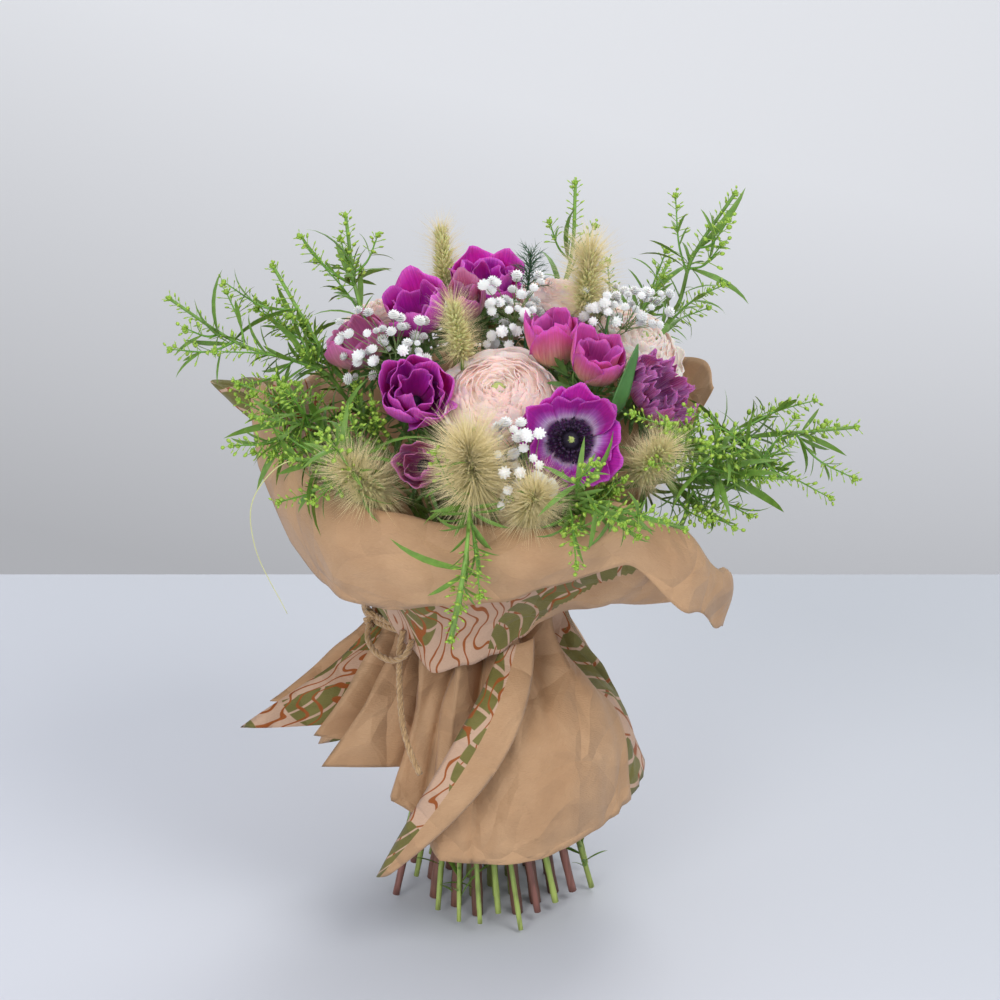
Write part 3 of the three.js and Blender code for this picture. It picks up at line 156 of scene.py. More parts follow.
BACK_SHEET = [
    (12, (47.7, 212), (72, 230), (106, 268), (128, 306), (136, 322)),
    (24, (48.6, 211), (72, 230), (108, 268), (133, 308), (142, 330)),
    (50, (52.4, 208), (72, 228), (104, 266), (124, 300), (131, 318)),
    (75, (57.8, 206), (75, 227), (106, 264), (130, 300), (140, 322)),
    (100, (63.8, 204), (78, 226), (102, 264), (122, 298), (130, 316)),
    (125, (69.4, 204), (82, 226), (106, 264), (132, 300), (143, 322)),
    (148, (73.3, 204), (85, 226), (110, 266), (132, 298), (140, 312)),
    (164, (74.9, 204), (88, 228), (116, 270), (146, 304), (160, 322)),
    (172, (75.3, 204), (88, 228), (116, 272), (150, 308), (170, 328)),
    (176, (74, 204), (85, 223), (111, 262), (127, 298), (134, 316)),
    (184, (71, 204), (82, 219), (107, 254), (119, 288), (124, 302)),
]
# Skirt: degrees, then middle of the fold and hem; ridges and valleys take turns
SKIRT = [
    (0, (74, 138), (95, 88)), (16, (60, 135), (74, 84)), (30, (80, 132), (98, 74)),
    (48, (58, 134), (70, 78)), (64, (78, 132), (100, 66)), (84, (58, 134), (72, 72)),
    (102, (80, 132), (102, 64)), (122, (58, 136), (74, 74)), (140, (82, 134), (104, 70)),
    (154, (54, 140), (66, 92)), (165, (90, 140), (114, 84)), (173, (54, 148), (72, 112)),
    (181, (102, 160), (138, 130)), (187, (56, 152), (80, 120)), (193, (112, 154), (156, 126)),
    (199, (54, 152), (72, 126)),
    (205, (94, 156), (118, 128)), (211, (56, 150), (76, 118)), (217, (92, 156), (126, 120)),
    (223, (54, 148), (66, 106)), (231, (70, 148), (94, 96)), (240, (62, 142), (84, 84)), (252, (78, 138), (100, 68)),
    (262, (66, 134), (88, 62)), (280, (82, 132), (97, 66)), (300, (86, 132), (93, 70)),
    (318, (88, 134), (92, 76)), (336, (84, 136), (94, 82)),
]
SKIRT_TOP, SKIRT_NECK, PLEAT_IN = 216, 189, 29
PRINTED_PANELS = {14, 27}  # folds after which the skirt turns its printed face outwards
LAPEL = SimpleNamespace(start=(58, 285, 192), end=(116, 237, 60), width=30)
# The loose twine, in metres in the frame: a bight from the knot to the paper's edge, and the free end
LOOP = [
    (-0.0851, -0.0345, 0.195), (-0.0858, -0.0431, 0.189), (-0.0798, -0.0541, 0.184),
    (-0.0703, -0.0616, 0.183), (-0.0628, -0.0651, 0.188), (-0.0589, -0.0599, 0.195),
]
TAIL = [
    (-0.0643, -0.0567, 0.200), (-0.0663, -0.0587, 0.190), (-0.0668, -0.0601, 0.176), (-0.0663, -0.0641, 0.160),
    (-0.0643, -0.0721, 0.144), (-0.0593, -0.0801, 0.130), (-0.0543, -0.0841, 0.120),
]


# ---------------------------------------------------------------- points and directions
def around(count):
    """Angles evenly round a circle."""
    return np.linspace(0, FULL, count, endpoint=False)


def stacked(*parts):
    """Points, or a UV, from their coordinates."""
    return np.stack(np.broadcast_arrays(*parts), -1)


def polar(r, degrees, z):
    """Points from a radius, degrees round the axis, and a height."""
    a = np.radians(degrees)
    return stacked(r * np.cos(a), r * np.sin(a), z)


def swung(a, x, y):
    """Directions swung by an angle from one direction towards another, which is square to it."""
    a = np.asarray(a)[..., None]
    return np.cos(a) * x + np.sin(a) * y


def unit(a):
    """The same direction, one long."""
    a = np.asarray(a, float)
    return a / np.maximum(np.linalg.norm(a, axis=-1, keepdims=True), 1e-9)


def reached(points):
    """How far along a run of points each one after the first lies."""
    return np.cumsum(np.linalg.norm(np.diff(points, axis=0), axis=-1), axis=0)


def length_of(points):
    return float(np.linalg.norm(np.diff(points, axis=0), axis=1).sum())


def smooth(points, count):
    """Points along one smooth curve through the given ones, evenly spaced by length."""
    p = np.asarray(points, float)
    p = np.vstack([2 * p[0] - p[1], p, 2 * p[-1] - p[-2]])
    t = np.linspace(0, 1, 20, endpoint=False)[:, None]
    fine = []
    for a, b, c, d in zip(p[:-3], p[1:-2], p[2:-1], p[3:]):
        k0, k1, k2 = (math.sqrt(max(np.linalg.norm(y - x), 1e-6)) for x, y in ((a, b), (b, c), (c, d)))
        t1 = k1 * ((b - a) / k0 - (c - a) / (k0 + k1) + (c - b) / k1)
        t2 = k1 * ((c - b) / k1 - (d - b) / (k1 + k2) + (d - c) / k2)
        fine.append(b + t * t1 + t**2 * (3 * (c - b) - 2 * t1 - t2) + t**3 * (2 * (b - c) + t1 + t2))
    fine = np.vstack([*fine, p[-2:-1]])
    along = np.concatenate([[0], reached(fine)])
    wanted = np.linspace(0, along[-1], count)
    return np.stack([np.interp(wanted, along, fine[:, k]) for k in range(fine.shape[1])], -1)


def frames(points):
    """The way along a run of points, and two ways across it that turn as little as they can."""
    along = unit(np.gradient(points, axis=0))
    side = np.array([1.0, 0, 0]) if abs(along[0][2]) > 0.9 else np.array([0, 0, 1.0])
    sides = []
    for a in along:
        side = unit(side - a * (side @ a))
        sides.append(side)
    sides = np.array(sides)
    return along, sides, np.cross(along, sides)


# ---------------------------------------------------------------- camera and light
def add(name, data):
    """A new object of the scene."""
    obj = bpy.data.objects.new(name, data)
    bpy.context.scene.collection.objects.link(obj)
    return obj


def aim(obj, place):
    """Stands a camera or lamp somewhere, turned to the middle of the bouquet."""
    obj.location = place
    obj.rotation_mode = "QUATERNION"
    obj.rotation_quaternion = (Vector(TARGET) - Vector(place)).to_track_quat("-Z", "Y")


ELEVATION, DISTANCE = math.radians(20), 1.5
TARGET = (CENTRE + (4.8, 0, 260)) * MM
camera = add("camera", bpy.data.cameras.new("camera"))
camera.data.lens, camera.data.sensor_width = 90, 36
camera.data.clip_start, camera.data.clip_end = 0.1, 40
aim(camera, TARGET + DISTANCE * np.array([0, -math.cos(ELEVATION), math.sin(ELEVATION)]))
bpy.context.scene.camera = camera
bpy.context.scene.view_settings.view_transform = "Standard"

for name, place, size, power, tone in (
    ("soft light from the upper right", (1.3, -1.3, 2.1), 1.3, 25, (1, 0.985, 0.96)),
    ("soft light from the front left", (-1.1, -2.1, 1.15), 1.2, 22, (1, 0.985, 0.965)),
    ("light on the back", (0.3, 1.5, 1.9), 1.4, 18, (1, 1, 1)),
):
    lamp = bpy.data.lights.new(name, "AREA")
    lamp.shape, lamp.size, lamp.energy, lamp.color = "DISK", size, power, tone
    aim(add(name, lamp), place)
world = bpy.data.worlds.new("pale room")
world.use_nodes = True
room = world.node_tree.nodes["Background"].inputs
room["Color"].default_value, room["Strength"].default_value = (0.80, 0.83, 0.90, 1), 0.66
bpy.context.scene.world = world


# ---------------------------------------------------------------- nodes
NUMBER, COLOUR, VECTOR, GEOMETRY = (f"NodeSocket{kind}" for kind in ("Float", "Color", "Vector", "Geometry"))


class Tree:
    """A node tree, with short ways to add a node and get back what it puts out."""

    def __init__(self, tree):
        self.tree = tree

    def join(self, value, socket):
        """Gives a socket its value, or a link from what another node puts out."""
        if isinstance(value, bpy.types.NodeSocket):
            self.tree.links.new(value, socket)
        else:
            socket.default_value = value

    def put(self, kind, inputs=None, out=0, **settings):
        """One node, with its settings and inputs; out is the output wanted, or None for all of them."""
        node = self.tree.nodes.new(kind if kind.startswith(("Geometry", "Function")) else "ShaderNode" + kind)
        for name, value in settings.items():
            setattr(node, name, value)
        for name, value in (inputs or {}).items():
            self.join(value, node.inputs[name])
        return node.outputs if out is None else node.outputs[out]

    def maths(self, operation, *values):
        """One sum from numbers or sockets."""
        return self.put("Math", dict(enumerate(values)), operation=operation)

    def remap(self, value, low, high, to_low=0.0, to_high=1.0):
        sizes = {"Value": value, "From Min": low, "From Max": high, "To Min": to_low, "To Max": to_high}
        return self.put("MapRange", sizes)

    def blend(self, share, a, b):
        """Two colours mixed, the second by its share; a colour may be a six-figure code."""
        a, b = (colour(c) if isinstance(c, str) else c for c in (a, b))
        return self.put("Mix", {0: share, 6: a, 7: b}, 2, data_type="RGBA")

    def noise(self, place, scale, detail=2.0, out="Fac", **more):
        return self.put("TexNoise", {"Vector": place, "Scale": scale, "Detail": detail, **more}, out)

    def stretched(self, place, scale, **more):
        return self.put("Mapping", {"Vector": place, "Scale": scale, **more})

    def uv(self):
        return self.put("UVMap", uv_map="UVMap")

    def place(self):
        return self.put("TexCoord", out="Object")

    def tint(self):
        return self.put("Attribute", out="Fac", attribute_name="tint")

    def tinted(self, base, spread):
        """A colour made a little lighter or darker from piece to piece, by the tint each one carries."""
        value = self.remap(self.tint(), 0.0, 1.0, 1 - spread, 1 + spread)
        return self.put("HueSaturation", {"Color": base, "Value": value})

    def ramp(self, share, stops):
        """Colour by a share, from stops written as places and six-figure codes in turn."""
        words = stops.split()
        pairs = list(zip(words[::2], words[1::2]))
        node = self.put("ValToRGB", {"Fac": share}).node
        while len(node.color_ramp.elements) < len(pairs):
            node.color_ramp.elements.new(0.5)
        for element, (place, code) in zip(node.color_ramp.elements, pairs):
            element.position, element.color = float(place), colour(code)
        return node.outputs["Color"]

    def bump(self, surface, height, strength, distance):
        self.join(self.put("Bump", {"Strength": strength, "Distance": distance, "Height": height}), surface["Normal"])


def group(name, kind, inputs, outputs):
    """A node group with named inputs and outputs, an input with its first value where it needs one."""
    tree = bpy.data.node_groups.new(name, kind)
    for label, socket, *value in inputs:
        made = tree.interface.new_socket(label, in_out="INPUT", socket_type=socket)
        if value:
            made.default_value = value[0]
    for label, socket in outputs:
        tree.interface.new_socket(label, in_out="OUTPUT", socket_type=socket)
    return Tree(tree), tree.nodes.new("NodeGroupInput").outputs, tree.nodes.new("NodeGroupOutput").inputs


def material(name, roughness, **shader):
    """A new material, its tree, and the inputs of its Principled BSDF."""
    made = bpy.data.materials.new(name)
    made.use_nodes = True
    surface = made.node_tree.nodes["Principled BSDF"].inputs
    surface["Roughness"].default_value = roughness
    for label, value in shader.items():
        surface[label.replace("_", " ")].default_value = value
    return made, Tree(made.node_tree), surface


def colour(code):
    """Linear colour from a six-figure code."""
    parts = [int(code[k : k + 2], 16) / 255 for k in (0, 2, 4)]
    return (*[c / 12.92 if c < 0.04045 else ((c + 0.055) / 1.055) ** 2.4 for c in parts], 1)


def make_veins():
    """Fine veins that run up a petal or leaf, from its own UV: a mask from 0 to 1."""
    t, given, made = group(
        "veins", "ShaderNodeTree", [("UV", VECTOR), ("Count", NUMBER, 30.0), ("Waviness", NUMBER, 2.0)],
        [("Mask", NUMBER)])
    scale = t.put("CombineXYZ", {0: given["Count"], 1: given["Waviness"], 2: 0.0})
    moved = t.put("VectorMath", {0: given["UV"], 1: scale}, operation="MULTIPLY")
    t.join(t.remap(t.noise(moved, 1.0, 3.0, Roughness=0.6), 0.38, 0.66), made["Mask"])
    return t.tree


def make_fibres():
    """Paper fibres: a soft cloud, and short dark and pale flecks."""
    t, given, made = group(
        "paper fibres", "ShaderNodeTree", [("Vector", VECTOR), ("Scale", NUMBER, 1.0)],
        [("Cloud", NUMBER), ("Flecks", NUMBER)])
    place = t.put("VectorMath", {0: given["Vector"], "Scale": given["Scale"]}, operation="SCALE")
    t.join(t.noise(place, 28.0, 4.0), made["Cloud"])
    t.join(t.noise(t.stretched(place, (0.3, 1.0, 1.0)), 1500.0), made["Flecks"])
    return t.tree


def make_print():
    """The printed face: olive leaves with pale ribs, over rust-brown lines that wander and loop."""
    t, given, made = group("printed face", "ShaderNodeTree", [("Place", VECTOR)], [("Color", COLOUR)])
    place = given["Place"]
    sizes = {"Vector": place, "Scale": 32.0, "Distortion": 13.0, "Detail": 0.5, "Detail Scale": 1.5}
    rust = t.remap(t.put("TexWave", sizes, "Fac"), 0.87, 0.93)
    sizes = {"Vector": place, "Scale": 15.0, "Randomness": 0.75}
    cells = t.put("TexVoronoi", sizes, None, voronoi_dimensions="2D")
    away = t.put("VectorMath", {0: place, 1: cells["Position"]}, operation="SUBTRACT")
    chance = t.put("SeparateColor", {0: cells["Color"]}, None)
    turn = t.maths("MULTIPLY", chance[0], 31.0)
    away = t.put("VectorRotate", {"Vector": away, "Angle": turn}, rotation_type="Z_AXIS")
    x, y, _ = t.put("SeparateXYZ", {0: away}, None)
    half = t.maths("MULTIPLY_ADD", t.maths("MULTIPLY", x, x), -13.0, 0.021)
    leaf = t.remap(t.maths("SUBTRACT", half, t.maths("ABSOLUTE", y)), 0.0, 0.0005)
    bowed = t.maths("MULTIPLY_ADD", t.maths("MULTIPLY", y, y), 22.0, x)
    ribs = t.maths("FRACT", t.maths("DIVIDE", bowed, 0.0135))
    ribs = t.remap(t.maths("ABSOLUTE", t.maths("SUBTRACT", ribs, 0.5)), 0.07, 0.10)
    leaf = t.maths("MULTIPLY", leaf, ribs)
    tone = t.blend(leaf, "caa88f", t.blend(t.noise(place, 60.0), "5c5a24", "868044"))
    # The rust lines pass over the paper, and over some of the leaves too
    over = t.remap(chance[1], 0.5, 0.52)
    rust = t.maths("MULTIPLY", rust, t.maths("MAXIMUM", over, t.maths("SUBTRACT", 1.0, leaf)))
    t.join(t.blend(rust, tone, "9c521c"), made["Color"])
    return t.tree


VEINS, FIBRES, PRINT = make_veins(), make_fibres(), make_print()


# ---------------------------------------------------------------- finishes
def petal_finish(name, stops, vein, vein_share, rim=None):
    """Petal: colour from foot to tip, veins that run up it, and a rim of its own colour."""
    made, t, surface = material(
        name, 0.5, Sheen_Weight=0.05, Subsurface_Weight=0.3, Subsurface_Scale=0.003, Specular_IOR_Level=0.3)
    uv = t.uv()
    across, up, _ = t.put("SeparateXYZ", {0: uv}, None)
    veins = t.put("Group", {"UV": uv, "Count": 34.0, "Waviness": 2.2}, node_tree=VEINS)
    tone = t.blend(t.maths("MULTIPLY", veins, vein_share), t.ramp(up, stops), vein)
    if rim:
        edge = t.maths("ABSOLUTE", t.maths("SUBTRACT", across, 0.5))
        tone = t.blend(t.remap(edge, 0.40, 0.5, 0.0, 0.6), tone, rim)
    t.join(t.tinted(tone, 0.22), surface["Base Color"])
    t.bump(surface, veins, 0.35, 0.0004)
    return made


def leaf_finish(name, light, dark, roughness=0.5):
    """Leaf: two greens, shared out by a fine cloud and by the tint each leaf carries."""
    made, t, surface = material(name, roughness, Subsurface_Weight=0.08, Subsurface_Scale=0.001)
    noise = t.noise(t.place(), 260.0, 3.0)
    share = t.maths("ADD", t.maths("MULTIPLY", noise, 0.5), t.maths("MULTIPLY", t.tint(), 0.75))
    t.join(t.blend(t.remap(share, 0.25, 0.95), dark, light), surface["Base Color"])
    t.bump(surface, noise, 0.3, 0.0003)
    return made


def paper_finish(name, printed):
    """Brown wrapping paper, plain or printed, with its cloud, flecks and fine crumple."""
    made, t, surface = material(name, 0.62, Sheen_Weight=0.1, Specular_IOR_Level=0.3)
    uv, place = t.uv(), t.place()
    cloud, flecks = t.put("Group", {"Vector": uv, "Scale": 1.0}, None, node_tree=FIBRES)
    if printed:
        tone = t.put("Group", {"Place": uv}, node_tree=PRINT)
    else:
        tone = t.blend(t.remap(cloud, 0.3, 0.7), "b68f6a", "c8a27c")
    tone = t.blend(t.remap(flecks, 0.35, 0.75, 0.0, 0.12), tone, "8f6645")
    t.join(tone, surface["Base Color"])
    place = t.blend(0.035, place, t.noise(place, 14.0, out="Color"))
    height = t.maths("MULTIPLY", flecks, 0.012)
    for scale, share in ((9.0, 0.85), (21.0, 0.45), (60.0, 0.05)):
        facets = t.put("TexVoronoi", {"Vector": place, "Scale": scale}, "Distance", feature="DISTANCE_TO_EDGE")
        height = t.maths("MULTIPLY_ADD", facets, share, height)
    t.bump(surface, height, 1.0, 0.027)
    return made


def twine_finish():
    """Jute: pale and dark fibres that run along each strand."""
    made, t, surface = material("jute twine", 0.85, Sheen_Weight=0.4)
    noise = t.noise(t.stretched(t.uv(), (9.0, 260.0, 1.0), Rotation=(0, 0, 0.1)), 1.0, 4.0)
    t.join(t.ramp(noise, "0.3 8a6a45 0.55 b9966a 0.75 d6bd95"), surface["Base Color"])
    t.bump(surface, noise, 0.7, 0.0004)
    return made


def stem_finish(name, stops, browned=False):
    """Stem: colour by its height above the floor, streaked along its length; some are brown at the foot."""
    made, t, surface = material(name, 0.5)
    place = t.place()
    noise = t.noise(t.stretched(place, (420.0, 420.0, 26.0)), 1.0, 3.0)
    height = t.put("SeparateXYZ", {0: place}, 2)
    tone = t.ramp(t.remap(height, 0.0, 0.4), stops)
    if browned:
        share = t.maths("MULTIPLY", t.remap(t.tint(), 0.55, 0.6), t.remap(height, 0.1, 0.24, 1.0, 0.0))
        tone = t.blend(share, tone, "84574e")
    tone = t.blend(t.remap(noise, 0.4, 0.7, 0.0, 0.45), tone, "3b2a22")
    t.join(t.tinted(tone, 0.3), surface["Base Color"])
    t.bump(surface, noise, 0.5, 0.0005)
    return made


def bristle_finish():
    """Bristle: green-gold at its foot and straw at its tip."""
    made, t, surface = material("grass bristle", 0.6, Sheen_Weight=0.2)
    tone = t.ramp(t.put("SeparateXYZ", {0: t.uv()}, 1), "0 d2cf86 0.3 ece09c 0.7 f8e6b4 1 ecd09c")
    t.join(t.tinted(tone, 0.3), surface["Base Color"])
    return made


# Petals: colours from foot to tip, then colour and share of the veins; the inner face first, then the outer one
PETALS = {
    "magenta": (("0 6a0a40 0.35 a30f86 0.8 c92abb 1 dc62d2", "880f7c", 0.5),
                ("0 c08a80 0.25 cb4f92 0.6 c838b6 1 d968cd", "a3268f", 0.45)),
    "dusky": (("0 8c2f5c 0.5 bf5a92 1 cc86b2", "9c4a7c", 0.6),
              ("0 b8a080 0.35 c29490 0.75 bf7f98 1 c765b0", "96566c", 0.6)),
    "two_tone": (("0 9c2860 0.5 c8409c 1 da68c6", "9f2385", 0.4),
                 ("0 a9ad68 0.4 cdac84 0.62 d6948a 0.84 d2649a 1 cf48bf", "b8506a", 0.65, "cf3fb8")),
    "streaked": (("0 4a0f3c 0.5 8a2580 1 a94aa4", "dcb2d6", 0.55),
                 ("0 a88a76 0.4 8f3a7c 1 a03f9a", "d9aecb", 0.5)),
    "open": (("0 140420 0.34 2a0b3a 0.46 cfb2d0 0.6 b65fba 0.76 b0189c 0.93 b21ea2 1 cd58c6", "7c1080", 0.55),
             ("0 c094a4 0.5 bf62b4 1 c96fc8", "963f94", 0.4)),
    "blush": (("0 f6dcb8 0.4 fcded2 0.85 fff2ec 1 fde4de", "fad2c8", 0.3),
              ("0 ebdcb0 0.3 fbdcd0 0.8 ffece6 1 f8cdc6", "f8cfc6", 0.35)),
    "cream": (("0 efe0b4 0.5 f9e9dc 1 fcf1ea", "f6dfd0", 0.3),
              ("0 e4dcab 0.4 f6e2d4 1 f8e4dd", "f2d6c8", 0.3)),
}
# Leaves, pods, florets and dark parts: light and dark colour, and a roughness where it isn't 0.5
LEAVES = {
    "heart": ("green heart of the ranunculus", "cfd98a", "9fb356"),
    "dark": ("dark anemone centre", "241433", "0c0714", 0.6),
    "anther": ("anemone anther", "3a2148", "120a1c", 0.7),
    "leaf": ("pennycress leaf", "86ae48", "36621f"),
    "pod": ("pennycress pod", "b3d452", "7cab38"),
    "sprig": ("pennycress stalk", "82b244", "47802e"),
    "ruff": ("anemone leaf", "6f9a4a", "33562c"),
    "broad": ("broad leaf", "5d8f4a", "3a6b38", 0.42),
    "fern": ("fern needle", "4f7f55", "1f4a31"),
    "white": ("gypsophila petal", "ffffff", "f6f5ee", 0.6),
    "thread": ("gypsophila thread", "8da768", "5c7a45"),
    "spikelet": ("grass spikelet", "e6e6a6", "c6ca80", 0.6),
}
FINISH = {
    "plain": paper_finish("brown paper", False),
    "printed": paper_finish("printed paper", True),
    "twine": twine_finish(),
    # The petals packed between a ranunculus's rims, in a pinker tone that is painted shade in the gaps
    "between": petal_finish("petal between the rims", "0 f7d5cb 0.5 f6cdc4 1 f6dcc4", "efbcb1", 0.5),
    "bristle": bristle_finish(),
    "red stem": stem_finish("anemone stem", "0 83584a 0.3 765041 0.6 6a7a45 1 6f9250"),
    "green stem": stem_finish("green stem", "0 8a8f4e 0.2 6f9448 1 5f8f45"),
    "thin stem": stem_finish("thin stem", "0 b7c86a 0.2 86ad50 1 7fae49", browned=True),
    **{key: leaf_finish(*facts) for key, facts in LEAVES.items()},
}
for key, faces in PETALS.items():
    for side, facts in zip(("inner", "outer"), faces):
        FINISH[f"{key} {side}"] = petal_finish(f"{key.replace('_', '-')} petal, {side} face", *facts)


# ---------------------------------------------------------------- meshes
class Shape:
    """Points with a UV and a tint each, and faces with the number of their finish, grown part by part."""

    def __init__(self, *finishes):
        self.finishes = finishes
        self.co, self.uv, self.tint, self.count = [], [], [], 0
        self.quads, self.tris, self.quad_look, self.tri_look = [], [], [], []

    def points(self, co, uv, tint):
        """Adds loose points, and gives back the number of the first."""
        start = self.count
        co = np.asarray(co, float).reshape(-1, 3)
        self.co.append(co)
        self.uv.append(np.broadcast_to(np.asarray(uv, float).reshape(-1, 2), (len(co), 2)))
        self.tint.append(np.full(len(co), float(tint)))
        self.count += len(co)
        return start

    def grid(self, co, uv, tint=0.5, look=0, closed=False):
        """A grid of points, rows by columns; look is one number, or one for each column of faces."""
        rows, columns = co.shape[:2]
        start = self.points(co, uv, tint)
        j, i = np.meshgrid(np.arange(rows - 1), np.arange(columns if closed else columns - 1), indexing="ij")
        n = (i + 1) % columns
        quads = np.stack([j * columns + i, j * columns + n, (j + 1) * columns + n, (j + 1) * columns + i], -1)
        self.quads.append(quads.reshape(-1, 4) + start)
        self.quad_look.append(np.broadcast_to(look, quads.shape[:2]).ravel())
        return start

    def fan(self, start, count, middle, turned, look=0):
        """Triangles from a ring of points to one point, all by their numbers."""
        ring = start + np.arange(count)
        tris = np.stack([ring, np.roll(ring, -1), np.full(count, middle)], -1)
        self.tris.append(tris[:, ::-1] if turned else tris)
        self.tri_look.append(np.full(count, look))

    def tube(self, points, radii, sides, tint=0.5, look=0):
        """A closed round tube along a run of points."""
        points, radii = np.asarray(points, float), np.broadcast_to(np.asarray(radii, float), (len(points),))
        _, side, up = frames(points)
        a = around(sides)
        ring = swung(a, side[:, None], up[:, None])
        far = np.concatenate([[0], reached(points)]) * MM
        uv = stacked(a / FULL, far[:, None])
        start = self.grid(points[:, None] + ring * radii[:, None, None], uv, tint, look, closed=True)
        low = self.points([points[0], points[-1]], (0.5, 0), tint)
        self.fan(start, sides, low, True, look)
        self.fan(start + (len(points) - 1) * sides, sides, low + 1, False, look)

    def mesh(self, name, place=True):
        """All of it as a mesh, in metres in the frame's place, or as it stands where place is off."""
        co = np.vstack(self.co)
        co = (co + CENTRE) * MM if place else co
        quads = np.vstack(self.quads or [np.empty((0, 4), int)])
        tris = np.vstack(self.tris or [np.empty((0, 3), int)])
        corners = np.concatenate([quads.ravel(), tris.ravel()]).astype(np.int32)
        starts = np.concatenate([np.arange(len(quads)) * 4, 4 * len(quads) + 3 * np.arange(len(tris))])
        looks = np.concatenate([*self.quad_look, *self.tri_look]).astype(np.int32)
        made = bpy.data.meshes.new(name)
        made.vertices.add(len(co))
        made.vertices.foreach_set("co", co.astype(np.float32).ravel())
        made.loops.add(len(corners))
        made.loops.foreach_set("vertex_index", corners)
        made.polygons.add(len(starts))
        made.polygons.foreach_set("loop_start", starts.astype(np.int32))
        made.polygons.foreach_set("material_index", looks)
        made.polygons.foreach_set("use_smooth", np.ones(len(starts), bool))
        uv = made.uv_layers.new(name="UVMap")
        uv.data.foreach_set("uv", np.vstack(self.uv)[corners].astype(np.float32).ravel())
        tint = made.attributes.new("tint", "FLOAT", "POINT")
        tint.data.foreach_set("value", np.concatenate(self.tint).astype(np.float32))
        for finish in self.finishes:
            made.materials.append(FINISH[finish])
        made.update(calc_edges=True)
        made.validate()
        return made


def settled(obj):
    """What the modifiers of an object make of it, as a plain mesh; the object itself goes."""
    scene = bpy.context.evaluated_depsgraph_get()
    made = bpy.data.meshes.new_from_object(
        obj.evaluated_get(scene), preserve_all_data_layers=True, depsgraph=scene)
    bpy.data.objects.remove(obj)
    return made


def sheeted(shape, name, thick, inner=0):
    """A shape of open sheets given its thickness, in millimetres, inwards. inner counts the finishes
    from an outer face's to its inner one's."""
    obj = add(name, shape.mesh(name))
    wall = obj.modifiers.new("thickness", "SOLIDIFY")
    wall.thickness, wall.offset = thick * MM, -1
    wall.material_offset = wall.material_offset_rim = inner
    return settled(obj)


def piece(name, meshes, node):
    """One finished piece from its meshes, in place of its CAD node."""
    objects = [add(name, mesh) for mesh in meshes]
    made = objects[0]
    if len(objects) > 1:
        chosen = {"active_object": made, "object": made, "selected_objects": objects,
                  "selected_editable_objects": objects}
        with bpy.context.temp_override(**chosen):
            bpy.ops.object.join()
    made.data.name = name
    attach(made, "root")
    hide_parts(node)
    return made


# ---------------------------------------------------------------- what repeats along a shoot
def make_sprout():
    """Sets copies of a part along every line of the mesh, each turned on from the last and leaning outwards."""
    t, given, made = group(
        "sprout along a shoot", "GeometryNodeTree",
        [("Lines", GEOMETRY), ("Part", "NodeSocketObject"), ("Finish", "NodeSocketMaterial"),
         ("Seed", "NodeSocketInt"), ("Spacing", NUMBER), ("Start", NUMBER), ("Size at foot", NUMBER),
         ("Size at tip", NUMBER), ("Size spread", NUMBER, 0.2), ("Lean at foot", NUMBER), ("Lean at tip", NUMBER),
         ("Lean spread", NUMBER, 0.2), ("Turn spread", NUMBER, 0.4)],
        [("Parts", GEOMETRY)])
    lines = t.put("GeometryNodeMeshToCurve", {"Mesh": given["Lines"]})
    cuts = {"Curve": lines, "Length": given["Spacing"]}
    steps = t.put("GeometryNodeResampleCurve", cuts, mode="LENGTH")
    share = t.put("GeometryNodeSplineParameter", out="Factor")

    def chance(low, high, more):
        seed = t.maths("ADD", given["Seed"], float(more))
        return t.put("FunctionNodeRandomValue", {2: low, 3: high, "Seed": seed}, 1, data_type="FLOAT")

    def turned(rotation, axis, angle):
        by = t.put("FunctionNodeAxisAngleToRotation", {"Axis": axis, "Angle": angle})
        return t.put("FunctionNodeRotateRotation", {"Rotation": rotation, "Rotate By": by}, rotation_space="LOCAL")

    def along(kind):
        return t.put("Mix", {0: share, 2: given[f"{kind} at foot"], 3: given[f"{kind} at tip"]})

    tangent = t.put("GeometryNodeInputTangent")
    rotation = t.put("FunctionNodeAlignRotationToVector", {"Vector": tangent}, axis="Z")
    index = t.put("GeometryNodeInputIndex")
    spin = t.maths("MULTIPLY_ADD", index, GOLDEN, chance(0.0, given["Turn spread"], 1))
    rotation = turned(rotation, (0, 0, 1), spin)
    lean = t.maths("MULTIPLY_ADD", chance(-1.0, 1.0, 2), given["Lean spread"], along("Lean"))
    rotation = turned(rotation, (1, 0, 0), lean)
    size = t.maths("MULTIPLY_ADD", chance(-1.0, 1.0, 3), given["Size spread"], 1.0)
    size = t.maths("MULTIPLY", along("Size"), size)
    part = t.put("GeometryNodeObjectInfo", {"Object": given["Part"]}, "Geometry")
    chosen = t.put("FunctionNodeCompare", {0: share, 1: given["Start"]}, operation="GREATER_EQUAL")
    set_out = {"Points": steps, "Selection": chosen, "Instance": part, "Rotation": rotation, "Scale": size}
    copies = t.put("GeometryNodeInstanceOnPoints", set_out)
    marks = {"Geometry": copies, "Name": "tint", "Value": chance(0.0, 1.0, 4)}
    marked = t.put("GeometryNodeStoreNamedAttribute", marks, domain="INSTANCE", data_type="FLOAT")
    real = t.put("GeometryNodeRealizeInstances", {"Geometry": marked})
    t.join(t.put("GeometryNodeSetMaterial", {"Geometry": real, "Material": given["Finish"]}), made["Parts"])
    return t.tree


SPROUT = make_sprout()
SOCKETS = {item.name: item.identifier for item in SPROUT.interface.items_tree if item.in_out == "INPUT"}


